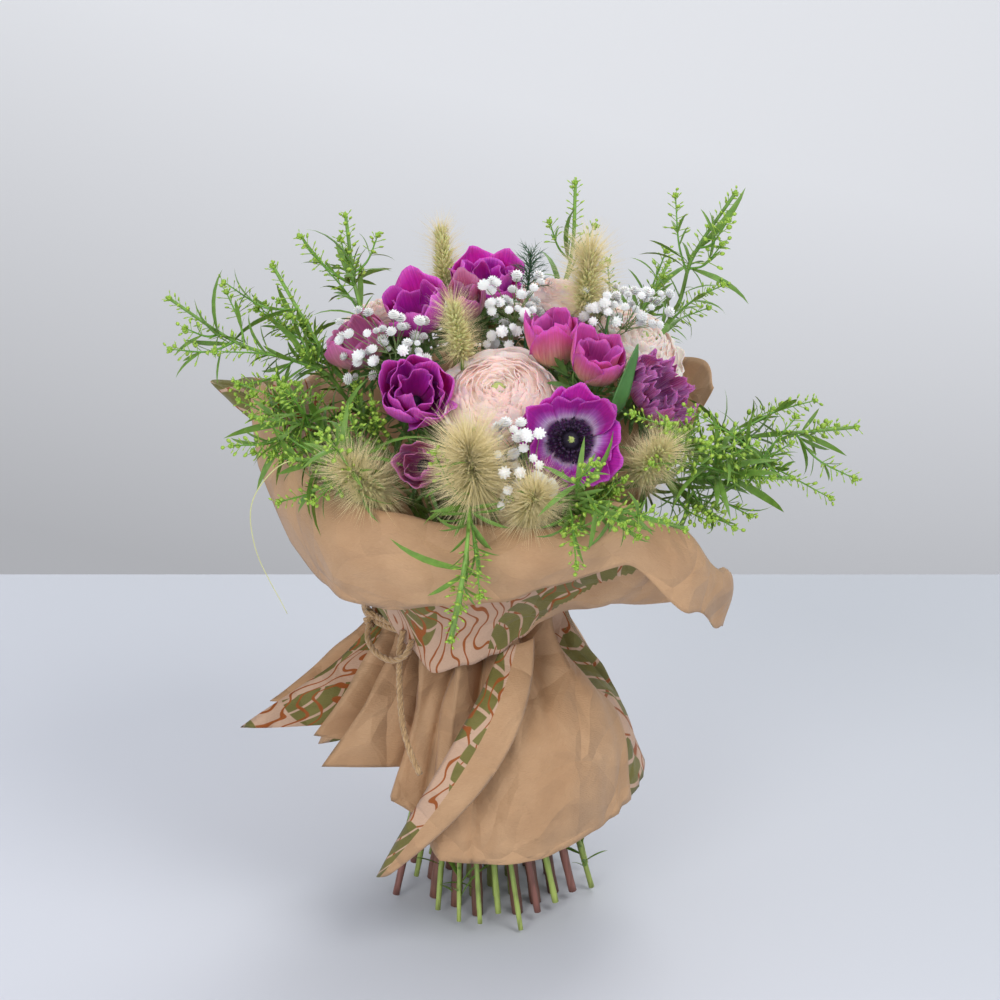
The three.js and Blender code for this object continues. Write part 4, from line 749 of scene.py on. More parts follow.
def sprouts(name, lines, part, seed, spacing, size, lean, **more):
    """What the tree sets along lines, which are in millimetres. Size in metres and lean in radians are given at
    the foot and the tip of each line."""
    lines = [np.asarray(line, float) for line in lines]
    mesh = bpy.data.meshes.new(name)
    counts = np.cumsum([0] + [len(line) for line in lines])
    edges = np.vstack([np.stack([np.arange(a, b - 1), np.arange(a + 1, b)], -1) for a, b in zip(counts, counts[1:])])
    mesh.from_pydata(((np.vstack(lines) + CENTRE) * MM).tolist(), edges.tolist(), [])
    obj = add(name, mesh)
    modifier = obj.modifiers.new("sprout", "NODES")
    modifier.node_group = SPROUT
    values = {"Part": PARTS[part], "Finish": PARTS[part].data.materials[0], "Spacing": spacing, "Seed": seed,
              "Size at foot": size[0], "Size at tip": size[1], "Lean at foot": lean[0], "Lean at tip": lean[1]}
    for label, value in {**values, **more}.items():
        modifier[SOCKETS[label.replace("_", " ")]] = value
    made = settled(obj)
    made.polygons.foreach_set("use_smooth", np.ones(len(made.polygons), bool))
    return made


def blade(shape, width, thick, arch, rows=6):
    """A leaf one long that grows up Z and arches over towards -Y: two faces that meet along the rim."""
    t = np.linspace(0, 1, rows)
    across = np.array([-1, 0, 1])
    half = width / 2 * np.sin(np.pi * t ** (math.log(0.5) / math.log(0.4))) ** 0.8
    half[0] = max(half[0], width * 0.12)
    for face in (1, -1):
        co = np.zeros((rows, 3, 3))
        co[..., 0] = across * half[:, None] * face
        co[..., 1] = (-arch * t**2)[:, None] - 0.25 * half[:, None] * np.abs(across)
        co[..., 1] += face * thick * (across == 0) * np.sin(np.pi * t)[:, None]
        co[..., 2] = (np.sin(0.9 * t * 1.2) / math.sin(0.9 * 1.2))[:, None]
        shape.grid(co, stacked((across + 1) / 2, t[:, None]))


def spike(shape, radius, arch, rows=3, belly=0.0):
    """A bristle or needle one long: three sides, arched towards -Y, to a point."""
    t = np.linspace(0, 1, rows + 1)[:-1, None]
    a = around(3)
    r = radius * (1 - t * 0.75 + belly * np.sin(np.pi * t))
    co = stacked(r * np.cos(a), r * np.sin(a) - arch * t**2, t)
    start = shape.grid(co, stacked(a / 6.3, t), closed=True)
    ends = shape.points([(0, 0, 0), (0, -arch, 1)], [(0.5, 0), (0.5, 1)], 0.5)
    shape.fan(start, 3, ends, True)
    shape.fan(start + (rows - 1) * 3, 3, ends + 1, False)


def pod(shape):
    """A round flat pod on its thread, one long in all."""
    a = around(3)
    thread = stacked(0.035 * np.cos(a), 0.035 * np.sin(a), np.array([[0.0], [0.7]]))
    shape.grid(thread, (0.5, 0.2), 0.4, closed=True)
    a = around(7)
    start = shape.points(stacked(0.2 * np.sin(a), 0, 0.8 - 0.22 * np.cos(a)), (0.5, 0.8), 0.7)
    faces = shape.points([(0, -0.07, 0.82), (0, 0.07, 0.82)], (0.5, 1), 0.7)
    shape.fan(start, 7, faces, False)
    shape.fan(start, 7, faces + 1, True)


def floret(shape):
    """A double gypsophila flower one across: five frilled discs, stacked so that they round off at both ends."""
    for petals, reach, low, high, turn in (
        (8, 0.38, -0.04, 0.0, 0.0), (9, 0.5, 0.1, 0.12, 0.2), (9, 0.48, 0.25, 0.24, 0.1), (8, 0.38, 0.38, 0.35, 0.3),
        (5, 0.23, 0.48, 0.44, 0.5),
    ):
        a = around(2 * petals) + turn
        tip = np.arange(2 * petals) % 2 == 0
        r = reach * np.where(tip, 1.0, 0.66)
        rim = stacked(r * np.cos(a), r * np.sin(a), low + np.where(tip, 0.05, -0.05))
        for rise, under in ((0.0, False), (-0.12, True)):
            start = shape.points(rim, (0.5, 0.5), 0.9)
            shape.fan(start, 2 * petals, shape.points([(0, 0, high + rise)], (0.5, 0.5), 0.3), under)


def part_object(name, finish, draw, *sizes):
    """A part that the tree copies, as an object of its own until all pieces are made."""
    shape = Shape(finish)
    draw(shape, *sizes)
    return add(name, shape.mesh(name, place=False))


# Parts: finish, what draws them, and its sizes
PARTS = {name: part_object(name, *facts) for name, *facts in (
    ("leaf", "leaf", blade, 0.14, 0.012, 0.24),
    ("curled leaf", "leaf", blade, 0.12, 0.012, 0.55, 7),
    ("lobe", "ruff", blade, 0.24, 0.014, 0.3, 5),
    ("bristle", "bristle", spike, 0.0052, 0.2, 2),
    ("spikelet", "spikelet", spike, 0.07, 0.05, 3, 1.2),
    ("needle", "fern", spike, 0.03, 0.04, 2),
    ("bud", "pod", spike, 0.22, 0.0, 3, 0.9),
    ("pod", "pod", pod),
    ("floret", "white", floret),
)}


# ---------------------------------------------------------------- where each plant stands
def draws(seed):
    """The same stream of numbers as the part's source uses, from whole numbers of 32 bits."""
    word = 0xFFFFFFFF
    while True:
        seed = (seed + 0x6D2B79F5) & word
        t = (seed ^ (seed >> 15)) * (1 | seed) & word
        t = (t + ((t ^ (t >> 7)) * (61 | t) & word) & word) ^ t
        yield (t ^ (t >> 14)) / (word + 1)


def sheaf_point(place, z):
    """Where a stem of the sheaf runs at a height. The sheaf opens out from the tie, and twists below it."""
    low = z < TIE_Z
    t = 1 - z / TIE_Z if low else (z - TIE_Z) / (NECK_Z - TIE_Z)
    at = STEM_PITCH * place * (1 - t + t * (FOOT_SPREAD * cmath.exp(1j * FOOT_TURN) if low else NECK_SPREAD))
    return np.array([at.real, at.imag, z])


def grown(table, fields):
    """The plants of a table, each with the foot of its head or shoot and the way its stem ends there."""
    found = []
    for row in table:
        facts = {"width": 0, "depth": 0, "reach": 0, "run": (), "place": 0j, **dict(zip(fields.split(), row))}
        one = SimpleNamespace(**facts)
        one.run = np.array(one.run, float).reshape(-1, 3)
        if len(one.run):
            one.foot, one.end = one.run[0], unit(one.run[1] - one.run[0])
        elif "half" in facts:
            one.end = unit(np.array(one.at) - (0, 0, 150))
            one.foot = np.array(one.at) - 26 * one.end
        else:
            one.end = unit(one.faces)
            one.head_foot = np.array(one.at) - one.end * (one.depth / 2 or one.width * 0.22)
            one.foot = one.head_foot - one.end * (2.3 if one.depth else one.width and one.width * 0.056 + 0.4)
        found.append(one)
    return found


anemones = grown(ANEMONES, "name at faces width depth petals rings finish")
ranunculus = grown(RANUNCULUS, "name at faces width")
grasses = grown(GRASSES, "name at faces length reach bristles rise")
ferns = grown(FERNS, "name at faces length reach")
pennycress = grown(PENNYCRESS, "name run sides branches apart")
gypsophila = grown(GYPSOPHILA, "name at half")


def way_round(one):
    """The angle of a plant's foot round the axis."""
    return cmath.phase(complex(one.foot[0], one.foot[1]))


def give_places(plants, far, nears):
    """Hands the places of one ring to its plants in order round the axis, turned to where they lie nearest."""
    steps = range(-3, 4)
    places = [complex(i, j) for i in steps for j in steps
              if max(abs(i), abs(j)) == far and min(abs(i), abs(j)) in nears]
    places.sort(key=cmath.phase)
    plants = sorted(plants, key=way_round)
    costs = [sum(1 - math.cos(way_round(one) - cmath.phase(places[(n + turn) % len(places)]))
                 for n, one in enumerate(plants)) for turn in range(len(places))]
    turn = next(n for n, cost in enumerate(costs) if cost < min(costs) + 1e-9)
    for n, one in enumerate(plants):
        one.place = places[(n + turn) % len(places)]


CORNERS = ("back_right", "fern_top", "fern_back", "grass_middle")  # what stands next to the middle, at a corner
give_places([p for p in ranunculus if p.name == "top"], 0, [0])
give_places([p for p in ranunculus if p.name not in ("top", *CORNERS)], 1, [0])
give_places([p for p in [*ranunculus, *ferns, *grasses] if p.name in CORNERS], 1, [1])
give_places(anemones, 2, [0, 1])
give_places(gypsophila, 2, [2])
give_places([*[p for p in grasses if p.name not in CORNERS], *pennycress], 3, [0, 1, 2])

plants = [*ranunculus, *anemones, *grasses, *gypsophila, *ferns, *pennycress]
heads = [(p, np.array(p.at, float), p.width * 0.46) for p in ranunculus]
heads += [(p, np.array(p.at, float), max(p.width, p.depth) * 0.48) for p in anemones]


def upper_run(one):
    """From the neck to the head: it starts along the sheaf and ends along the head's own axis."""
    neck = sheaf_point(one.place, NECK_Z)
    start = unit(neck - sheaf_point(one.place, NECK_Z - 20))
    pull = np.linalg.norm(neck - one.foot) * 0.42
    a, b, c, d = neck, neck + start * pull, one.foot - one.end * pull, one.foot
    t = np.linspace(0, 1, RUN_STEPS + 1)[:, None]
    return (1 - t) ** 3 * a + 3 * t * (1 - t) ** 2 * b + 3 * t**2 * (1 - t) * c + t**3 * d


cut = draws(5)
for one in plants:
    one.thick = 2.6 if one.width else 2.8 if one.reach else 1.7
    one.cut = 0 if one.width else 9 * next(cut)
    one.path = np.vstack([upper_run(one), one.run[1:]])
    if one.reach:
        one.path = np.vstack([one.path, one.foot + one.end * 0.82 * one.length])


def bend_clear():
    """Bends the runs clear of each other and of the heads, all at once and a little at a time."""
    starts = np.cumsum([0] + [len(p.path) for p in plants])
    at = np.vstack([p.path for p in plants])
    owner = np.concatenate([np.full(len(p.path) - 1, n) for n, p in enumerate(plants)])
    first = np.concatenate([np.arange(a, b - 1) for a, b in zip(starts, starts[1:])])
    thick = np.array([p.thick for p in plants])[owner]
    m, n = np.triu_indices(len(first), 1)
    m, n = m[owner[m] != owner[n]], n[owner[m] != owner[n]]
    room = thick[m] + thick[n] + AIR
    free = np.concatenate([a + np.arange(1, RUN_STEPS) for a in starts[:-1]])
    middle, radius = np.array([h[1] for h in heads]), np.array([h[2] for h in heads])
    mine = np.array([[h[0] is plants[k] for h in heads] for k in owner])
    for _ in range(BEND_ROUNDS):
        push = np.zeros_like(at)
        p, q = at[first], at[first + 1]
        along = q - p
        # Off the heads of the others
        s = np.clip(((middle[None] - p[:, None]) * along[:, None]).sum(-1) / (along**2).sum(-1)[:, None], 0, 1)
        off = p[:, None] + along[:, None] * s[..., None] - middle[None]
        far = np.linalg.norm(off, axis=-1)
        short = np.where(mine, 0, np.maximum(radius[None] + thick[:, None] + 1 - far, 0))
        off = off / np.maximum(far, 1e-6)[..., None] * (0.5 * short)[..., None]
        np.add.at(push, first, (off * (1 - s)[..., None]).sum(1))
        np.add.at(push, first + 1, (off * s[..., None]).sum(1))
        # Off the runs of the others, where two come nearest
        d1, d2, r = along[m], along[n], p[m] - p[n]
        a, b, c, e, f = ((x * y).sum(-1) for x, y in ((d1, d1), (d1, d2), (d1, r), (d2, d2), (d2, r)))
        flat = a * e - b * b
        s = np.where(flat > 1e-6, np.clip((b * f - c * e) / np.maximum(flat, 1e-6), 0, 1), 0.5)
        t = np.clip((b * s + f) / e, 0, 1)
        s = np.clip((b * t - c) / a, 0, 1)
        off = p[m] + d1 * s[:, None] - p[n] - d2 * t[:, None]
        far = np.linalg.norm(off, axis=-1)
        off = off / np.maximum(far, 1e-6)[:, None] * (0.3 * np.maximum(room - far, 0))[:, None]
        for where, share in ((first[m], 1 - s), (first[m] + 1, s), (first[n], t - 1), (first[n] + 1, -t)):
            np.add.at(push, where, off * share[:, None])
        between = (at[free - 1] + at[free + 1]) / 2
        at[free] += (between - at[free]) * 0.1 + push[free]
    for k, one in enumerate(plants):
        one.path = at[starts[k] : starts[k + 1]]


bend_clear()
for one in plants:
    upper = one.path[:-1] if one.reach else one.path
    low = [sheaf_point(one.place, z) for z in (one.cut, 98, TIE_Z, 231)]
    one.line = smooth(np.vstack([*low, upper]), STEM_POINTS)


def stem_tube(shape, one, foot_r, neck_r, head_r, sides, tint=0.5):
    """A slightly uneven stem, from its radii at the floor, at the neck of the sheaf and at its head."""
    z = one.line[:, 2]
    radii = np.interp(z, [0, NECK_Z, max(z.max(), NECK_Z + 1)], [foot_r, neck_r, head_r])
    wave = 1 + 0.05 * np.sin(np.arange(len(z)) * 1.7 + one.place.real)
    shape.tube(one.line, radii * wave, sides, tint)


def thin_stem(one, n, second):
    """A filler's stem: some are thick at the cut end and some are thin, and a few are brown there."""
    shape = Shape("thin stem", second)
    rng = np.random.default_rng(SEED["thin stem"] + n)
    foot = rng.uniform(1.4, 2.5)
    stem_tube(shape, one, foot, 1.5, 1.0, 8, rng.uniform(0.62, 0.95) if foot > 2.05 else rng.uniform(0.1, 0.5))
    return shape


def in_a_head(point, room):
    """Whether a point lies in a bloom, or nearer to it than the given room."""
    return any(np.linalg.norm(point - middle) < radius + room for _, middle, radius in heads)


# ---------------------------------------------------------------- twine
def twisted(name, path, closed=False, radius=TWINE_R):
    """Three strands laid round each other along a path in millimetres."""
    shape = Shape("twine")
    if closed:
        path = np.vstack([path, path[:1]])
    steps = int(length_of(path) / 1.1)
    fine = smooth(path, steps)
    _, side, up = frames(fine)
    far = np.linspace(0, length_of(fine), steps)
    turns = round(far[-1] / TWINE_TURN) if closed else far[-1] / TWINE_TURN
    for strand in range(3):
        a = FULL * (far / far[-1] * turns + strand / 3)
        shape.tube(fine + 0.5 * radius * swung(a, side, up), radius * 0.56, 7, 0.3 + 0.2 * strand)
    return shape.mesh(name)


for name, points, steps, far_end in (("loop", LOOP, 60, "object"), ("tail", TAIL, 80, "bare")):
    path = smooth(np.array(points) / MM - CENTRE, steps)
    piece(f"twine_{name}_strands", [twisted(name, path)], f"twine_{name}")
    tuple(points[0])
    length_of(path) * MM


def pleat_out(degrees):
    """How far out the gathered paper's ridges reach under the twine."""
    return 60 - 14 * np.cos(np.radians(degrees))


def twine_z(degrees):
    """The height of the twine, which is tied a little aslant."""
    return 200 + 6 * np.cos(np.radians(degrees - 330))


def tie_meshes():
    """Two turns round the gathered paper, and a half knot over them."""
    degrees = np.linspace(0, 360, 90, endpoint=False)
    clear_of_paper = 1.75
    out = pleat_out(degrees) + clear_of_paper + TWINE_R
    turns = [twisted("turn", polar(out, degrees, twine_z(degrees) + step), closed=True) for step in (-1.75, 1.75)]
    middle = polar(pleat_out(KNOT_AT) + 4.8, KNOT_AT, twine_z(KNOT_AT))
    out_way, side, up = unit(middle * (1, 1, 0)), unit(np.cross((0, 0, 1), middle)), np.array([0, 0, 1.0])
    # The knot is one pass that wraps the turns twice while it crosses itself
    a = np.linspace(0, FULL, 40)[:, None]
    knot = middle + side * 3.1 * np.sin(2 * a) + up * 4.2 * np.cos(a) + out_way * (1.4 + 2.0 * np.cos(3 * a))
    return [*turns, twisted("knot", knot[:-1], closed=True, radius=1.7)]


piece("twine_tie_strands", tie_meshes(), "twine_tie")

binding = Shape("twine")
for turn in range(2):
    a = np.linspace(0, 360, 72)
    binding.tube(polar(27.4, a, TIE_Z - 1.25 + 2.4 * turn), 1.2, 8, 0.4)
piece("stem_binding_turns", [binding.mesh("binding")], "stem_binding")


# ---------------------------------------------------------------- paper
def crumple(u, v, seed, size):
    """A height over a sheet, from creases that cross at random and a softer swell; u and v in millimetres."""
    rng = np.random.default_rng(seed)
    height = np.zeros_like(u)
    for _ in range(9):
        a, wave, phase, lean = rng.uniform(0, np.pi), rng.uniform(32, 95), rng.uniform(0, 1), rng.uniform(0, 6.3)
        across = (u * np.cos(a) + v * np.sin(a)) / wave + phase
        fade = 0.5 + 0.5 * np.sin((u * np.sin(a) - v * np.cos(a)) / wave * 1.7 + lean)
        height += (2 * np.abs(across % 1 - 0.5) - 0.5) * fade
    return height * size / 3


def sheet_grid(sections, columns, rows):
    """A grid over the profiles of a sheet, which blend into each other round the axis."""
    grid = np.zeros((rows, columns, 3))
    for n, d in enumerate(np.linspace(sections[0][0], sections[-1][0], columns)):
        after = max(1, next(k for k, s in enumerate(sections) if s[0] >= d - 1e-9))
        a, b = sections[after - 1], sections[after]
        t = (d - a[0]) / (b[0] - a[0])
        mixed = np.array(a[1:]) + (np.array(b[1:]) - np.array(a[1:])) * t * t * (3 - 2 * t)
        fine = smooth(mixed, rows)
        grid[:, n] = polar(fine[:, 0], d, fine[:, 1])
    return grid[:, ::-1]


def paper_sheet(name, grid, seed, crease, look, inner, closed=False, still=3, tucks=0.0, print_at=(0, 0)):
    """A crumpled sheet over a grid; its first rows, near the tie, stay smooth. Its UV is in metres."""
    u, v = np.zeros((2, *grid.shape[:2]))
    u[:, 1:] = reached(grid[grid.shape[0] // 2])
    v[1:] = reached(grid)
    rise = crumple(u, v, seed, crease) * np.minimum(np.arange(len(grid)) / still, 1)[:, None]
    across = np.gradient(grid, axis=1)
    if closed:
        rise *= np.minimum(np.minimum(u, u.max() - u) / 10, 1)
        across = np.roll(grid, -1, 1) - np.roll(grid, 1, 1)
    normals = unit(np.cross(across, np.gradient(grid, axis=0)))
    grid = grid + normals * (rise + tucks + PAPER / 2)[..., None]
    shape = Shape("plain", "printed", "plain")
    shape.grid(grid, (stacked(u, v) + print_at) * MM, 0.5, look, closed)
    return sheeted(shape, name, PAPER, inner)


# Underneath, the printed face ends on a slant towards the right, where the sheet's plain edge is turned under
across, up = np.meshgrid(np.linspace(342, 178, 169), np.linspace(0, 1, 63))
turned_under = np.where(up < (across - 289) / 29 * 0.62, 2, 0)
collar = paper_sheet("collar", sheet_grid(FRONT_SHEET, 170, 64), 3, 3.6, turned_under, 1)
piece("paper_collar", [collar], "wrap_front_sheet")
towards_left = (np.linspace(184, 12, 160) > 146).astype(int)
back = paper_sheet("back", sheet_grid(BACK_SHEET, 161, 40), 5, 3.2, towards_left, 0, print_at=(232, 12))
piece("paper_back", [back], "wrap_back_sheet")


def skirt_grid(steps=8, rows=44):
    """The folds of the skirt, and which of its columns turn the printed face outwards."""
    columns, looks = [], []
    for n, (degrees, middle, hem) in enumerate(SKIRT):
        following = SKIRT[(n + 1) % len(SKIRT)]
        ridge = n % 2 == 0
        for t in np.arange(steps) / steps:
            d = degrees + (following[0] - degrees) % 360 * t
            # Halfway between two folds the paper lies a little outside the straight line
            w = t + 0.28 * t * (1 - t) * (-1 if ridge else 1)
            waist = PLEAT_IN + (pleat_out(d) - PLEAT_IN) * (1 - t if ridge else t)
            mix = [np.array(a) + (np.array(b) - np.array(a)) * w for a, b in zip((middle, hem), following[1:])]
            fine = smooth([(max(waist, 40), SKIRT_TOP), (waist, SKIRT_NECK), *mix], rows)
            columns.append(polar(fine[:, 0], d, fine[:, 1]))
            looks.append(int(n in PRINTED_PANELS))
    return np.stack(columns[::-1], 1), np.roll(looks[::-1], -1)


skirt, skirt_looks = skirt_grid()
# Short tucks just below the twine, where the paper is drawn together
a = np.arctan2(skirt[0, :, 1], skirt[0, :, 0])[None]
down = np.arange(len(skirt))[:, None]
tucks = np.abs((a * 23 / FULL + 0.25 * np.sin(5 * a) + 0.012 * down) % 1 - 0.5) - 0.25
tucks = 11.0 * tucks * np.sin(np.pi * np.clip((down - 12) / 17, 0, 1)) ** 2
# Long creases that run on from them to the hem
creases = np.abs((a * 37 / FULL + 0.9 * np.sin(2.3 * a) - 0.01 * down) % 1 - 0.5) - 0.25
tucks += 6.5 * creases * np.clip((down - 14) / 12, 0, 1) * (0.6 + 0.4 * np.sin(7 * a + 0.12 * down))


def lapel_mesh():
    """The edge that is folded back down the front: a plain band, and its printed face along the left."""
    t = np.linspace(0, 1, 40)[:, None]
    start, end = np.array(LAPEL.start, float), np.array(LAPEL.end, float)
    middle = start + (end - start) * t
    half = LAPEL.width * np.sin(np.pi * (0.2 + 0.72 * t)) / 2 + 1
    s = np.linspace(-1, 1, 15)[None]
    r = middle[:, :1] * (1 + 0.12 * np.sin(np.pi * t)) + 2.6 * np.sqrt(np.maximum(1 - s**2, 0)) + 1.5
    degrees = middle[:, 1:2] + np.degrees(s * half / middle[:, :1])
    grid = polar(r, degrees, middle[:, 2:3] + s * 2)
    look = (s[0, :-1] < -0.25).astype(int)
    return paper_sheet("lapel", grid[:, ::-1], 9, 0.6, look[::-1], 1, still=2)


folds = paper_sheet("skirt", skirt, 7, 1.6, skirt_looks, 1, closed=True, still=14, tucks=tucks)
piece("paper_skirt", [folds, lapel_mesh()], "wrap_skirt")


# ---------------------------------------------------------------- petals
def over_sheet(rows, columns):
    """Shares up a sheet from 0 to 1 and across it from -1 to 1, and the UV that they make."""
    t, s = np.linspace(0, 1, rows)[:, None], np.linspace(-1, 1, columns)[None]
    return t, s, stacked((s + 1) / 2, t)


def head_axes(one):
    """Two ways across a head, and the way it faces."""
    z = unit(one.faces)
    x = np.cross((0, 0, 1), z)
    x = unit(x) if x @ x > 1e-3 else np.array([1.0, 0, 0])
    return x, np.cross(z, x), z


def on_head(one, r, a, h):
    """Points round a head's own axis: radius, angle, and height above its foot."""
    x, y, z = head_axes(one)
    r, h = (np.asarray(k)[..., None] for k in (r, h))
    return one.head_foot + r * swung(a, x, y) + h * z


def petal(shape, one, angle, stations, half, most, rng, tints, ruffle, cup, tip_round, crinkle, curl, ragged,
          rows=14, columns=13):
    """One petal over three stations of radius and height, with fine pleats, a ruffled rim and an uneven edge."""
    t, s, uv = over_sheet(rows, columns)
    p = rng.uniform(0, 6.3, 8)
    edge = ragged * (np.sin(4 * s + p[0]) + 0.6 * np.sin(9 * s + p[1]) + 0.35 * np.sin(17 * s + p[2])) * t
    along = t * (1 - tip_round * s**2 * t - tip_round * 0.9 * s**8 * t + edge)
    r, h = ((1 - along) ** 2 * a + 2 * along * (1 - along) * b + along**2 * c for a, b, c in zip(*stations))
    width = half * (0.28 + 0.72 * np.sin(np.pi * (0.12 + 0.62 * along)))
    spread = np.minimum(width / np.maximum(r, 2), most)
    wave = np.sin(3.1 * s + p[3]) * t**2.2 + 0.55 * np.sin(7.3 * s + p[4]) * t**3.5
    pleats = np.sin(15 * s + p[5] + 1.5 * t) * np.minimum(3 * t, 1) + 0.5 * np.sin(27 * s + p[6])
    r = r + ruffle * wave + crinkle * pleats + cup * s**2 * np.sin(np.pi * along * 0.8)
    r = r + curl * np.maximum(t - 0.78, 0) ** 2 * 25
    h = h + 0.5 * ruffle * np.cos(5.2 * s + p[7]) * t**2
    a = angle + s * spread + 0.1 * math.sin(p[0]) * t**2
    shape.grid(on_head(one, r, a, h), uv, rng.uniform(*tints))


def anemone_petals(one, seed):
    """Two or three rings of petals: a flat open flower, a cup, or a flower with torn, narrow petals."""
    rng = np.random.default_rng(seed)
    shape = Shape(one.finish + " outer", one.finish + " inner")
    opened, torn = one.depth < one.width * 0.4, one.name == "right"
    rings = 2 if one.rings == 1 else 3
    count = 9 if torn else one.petals if opened else 5 if one.name == "deep" else 4
    most = np.pi / count * (1.28 if opened else 1.1 if torn else 1.5)
    rim = dict(tip_round=0.16 if opened else 0.24, ruffle=one.width * (0.034 if opened else 0.05), cup=-0.5,
               crinkle=0.22 if torn else 0.15, ragged=0.016 if opened else 0.06 if torn else 0.026)
    for ring in range(rings):
        reach = one.width / 2 * (1 - (0.12 if opened else 0.26 if rings == 2 else 0.2) * ring) * 0.98
        high = one.depth * (1 - 0.06 * ring)
        for n in range(count):
            angle = FULL * (n + 0.5 * ring) / count + 0.3 + rng.uniform(-0.12, 0.12)
            far, tall = reach * rng.uniform(0.86, 1.06), high * rng.uniform(0.78, 1.06)
            if torn:
                tall *= rng.uniform(0.75, 1.15)
            if opened:
                tall = one.depth * (1.0 + 0.12 * ring) * rng.uniform(0.7, 1.15)
                stations = (3, 1.5 + ring), (far * 0.72, 0), (far * 1.03, tall)
            else:
                stations = (3 - ring * 0.5, 1.5), (far * 1.32, tall * 0.26), (far * (1.0 - 0.22 * ring / rings), tall)
            half = np.pi * reach / count * (1.05 if torn else 1.35)
            curl = 0.7 if opened else rng.uniform(-0.9, 1.8)
            petal(shape, one, angle, stations, half, most, rng, (0.1, 0.9), curl=curl, **rim)
    return sheeted(shape, one.name, ANEMONE_PETAL, 1)


def dome(shape, one, radius, height, rise, bumps, look=0):
    """A bumpy dome in the middle of a head."""
    rng = np.random.default_rng(1)
    rows, columns = 12, 28
    t = np.linspace(0.02, 1, rows)[:, None] * np.pi * 0.62
    r = radius * (1 + bumps * rng.uniform(-1, 1, (rows, columns)))
    co = on_head(one, r * np.sin(t), around(columns)[None], rise + height * np.cos(t) * r / radius)
    start = shape.grid(co[::-1], (0.5, 0.5), 0.5, look, closed=True)
    top = shape.points(on_head(one, 0, 0, rise + height), (0.5, 0.5), 0.5)
    shape.fan(start + (rows - 1) * columns, columns, top, False, look)


def anemone_centre(one):
    """The dark dome, its three rings of stamens, and the pale point in the middle."""
    shape = Shape("dark", "heart")
    dome(shape, one, 5.6, 4.6, 4.5, 0.07)
    dome(shape, one, 1.9, 1.3, 8.3, 0.25, look=1)
    meshes, z = [shape.mesh("centre")], head_axes(one)[2]
    for radius, rise, size, lean, seed in (
        (5.2, 5.5, 6.2, 0.95, 1), (5.6, 4.2, 7.8, 1.25, 2), (4.6, 6.6, 4.8, 0.6, 3),
    ):
        tips = Shape("anther")
        rng = np.random.default_rng(seed)
        ring = on_head(one, radius, np.linspace(0, FULL, 60), rise)
        for foot in ring[np.linspace(0, 59, STAMENS, endpoint=False).astype(int)]:
            out = unit(foot - one.head_foot - rise * z)
            way = unit(swung(lean, z, out) + rng.uniform(-0.12, 0.12, 3))
            long = size * rng.uniform(0.8, 1.1)
            tips.tube([foot, foot + way * long * 0.85], [0.22, 0.16], 4, 0.2)
            anther = [foot + way * long * 0.9 + way * k for k in (-0.8, -0.35, 0.35, 0.8)]
            tips.tube(anther, [0.25, 0.62, 0.62, 0.2], 6, rng.uniform(0.1, 1))
        meshes.append(tips.mesh("stamens"))
    return meshes


def heart_mesh(finish, one, *sizes):
    heart = Shape(finish)
    dome(heart, one, *sizes)
    return heart.mesh("heart")


for n, one in enumerate(anemones):
    meshes = [anemone_petals(one, SEED["anemone"] + n)]
    if one.name != "open":
        meshes.append(heart_mesh("dark", one, 4.0, 4.6, 3.0, 0.05))
    piece(f"anemone_{one.name}_bloom", meshes, f"anemone_{one.name}_petals")
piece("anemone_open_stamens", anemone_centre(anemones[0]), "anemone_open_centre")


def ranunculus_meshes(one, seed):
    """Ring inside ring of thin petals, from the open outer ones to the small green heart they close round."""
    rng = np.random.default_rng(seed)
    pale = "cream" if one.name in ("right", "back") else "blush"
    shape = Shape(pale + " outer", pale + " inner")
    R = one.width / 2 * (0.9 if one.name == "back_right" else 1)
    rim = dict(cup=-0.2, tip_round=0.14, crinkle=0.12, rows=9, columns=13)
    if one.name in ("back", "back_right"):
        rim.update(rows=8, columns=9)
    rims = []
    for ring in range(RANUNCULUS_RINGS):
        f = ring / (RANUNCULUS_RINGS - 1)
        reach = R * (1 - 0.86 * f**0.88)
        high = R * (0.40 + 0.30 * math.sin(math.pi * (0.08 + 0.60 * f)))
        rims.append((reach * 0.88, high - R * 0.10))
        count = max(4, round(8 - 4 * f))
        for n in range(count):
            angle = FULL * (n + 0.5 * ring) / count + rng.uniform(-0.3, 0.3)
            far, tall, lean = reach * rng.uniform(0.94, 1.05), high * rng.uniform(0.91, 1.05), 0.86 - 0.10 * f
            if ring < 2:
                tall, lean = tall * rng.uniform(0.62, 0.95), rng.uniform(0.95, 1.06)
            foot = R * (0.22 - 0.14 * f), R * (0.10 + 0.26 * f)
            petal(shape, one, angle, (foot, (far * 1.24, tall * (0.34 + 0.24 * f)), (far * lean, tall)),
                  np.pi * reach / count * 1.6, np.pi / count * 1.65, rng, (0.35, 0.85),
                  ruffle=R * (0.05 if ring < 2 else 0.032), curl=rng.uniform(0.0, 1.5) * (1 - f),
                  ragged=0.055 * (1.2 - 0.6 * f), **rim)
    # What the rims close over: the petals pressed together between them, a little lower. Their pinker tone is painted
    # shade in the gaps between the rims
    r, h = np.array([(R * 0.3, R * 0.1), (R * 0.72, R * 0.2), *rims, (0.4, rims[-1][1] - 1)]).T[..., None]
    a = around(40)
    body = Shape("between")
    uv = stacked(a / 6.3 * 8 % 1, np.linspace(0.4, 0.9, len(r))[:, None])
    body.grid(on_head(one, r, a[None], h), uv, 0.6, closed=True)
    heart = heart_mesh("heart", one, R * 0.13, R * 0.11, R * 0.53, 0.06)
    petals, packed = (sheeted(*facts) for facts in (
        (shape, one.name, RANUNCULUS_PETAL, 1), (body, "packed", RANUNCULUS_PETAL)))
    return [petals, heart, packed]


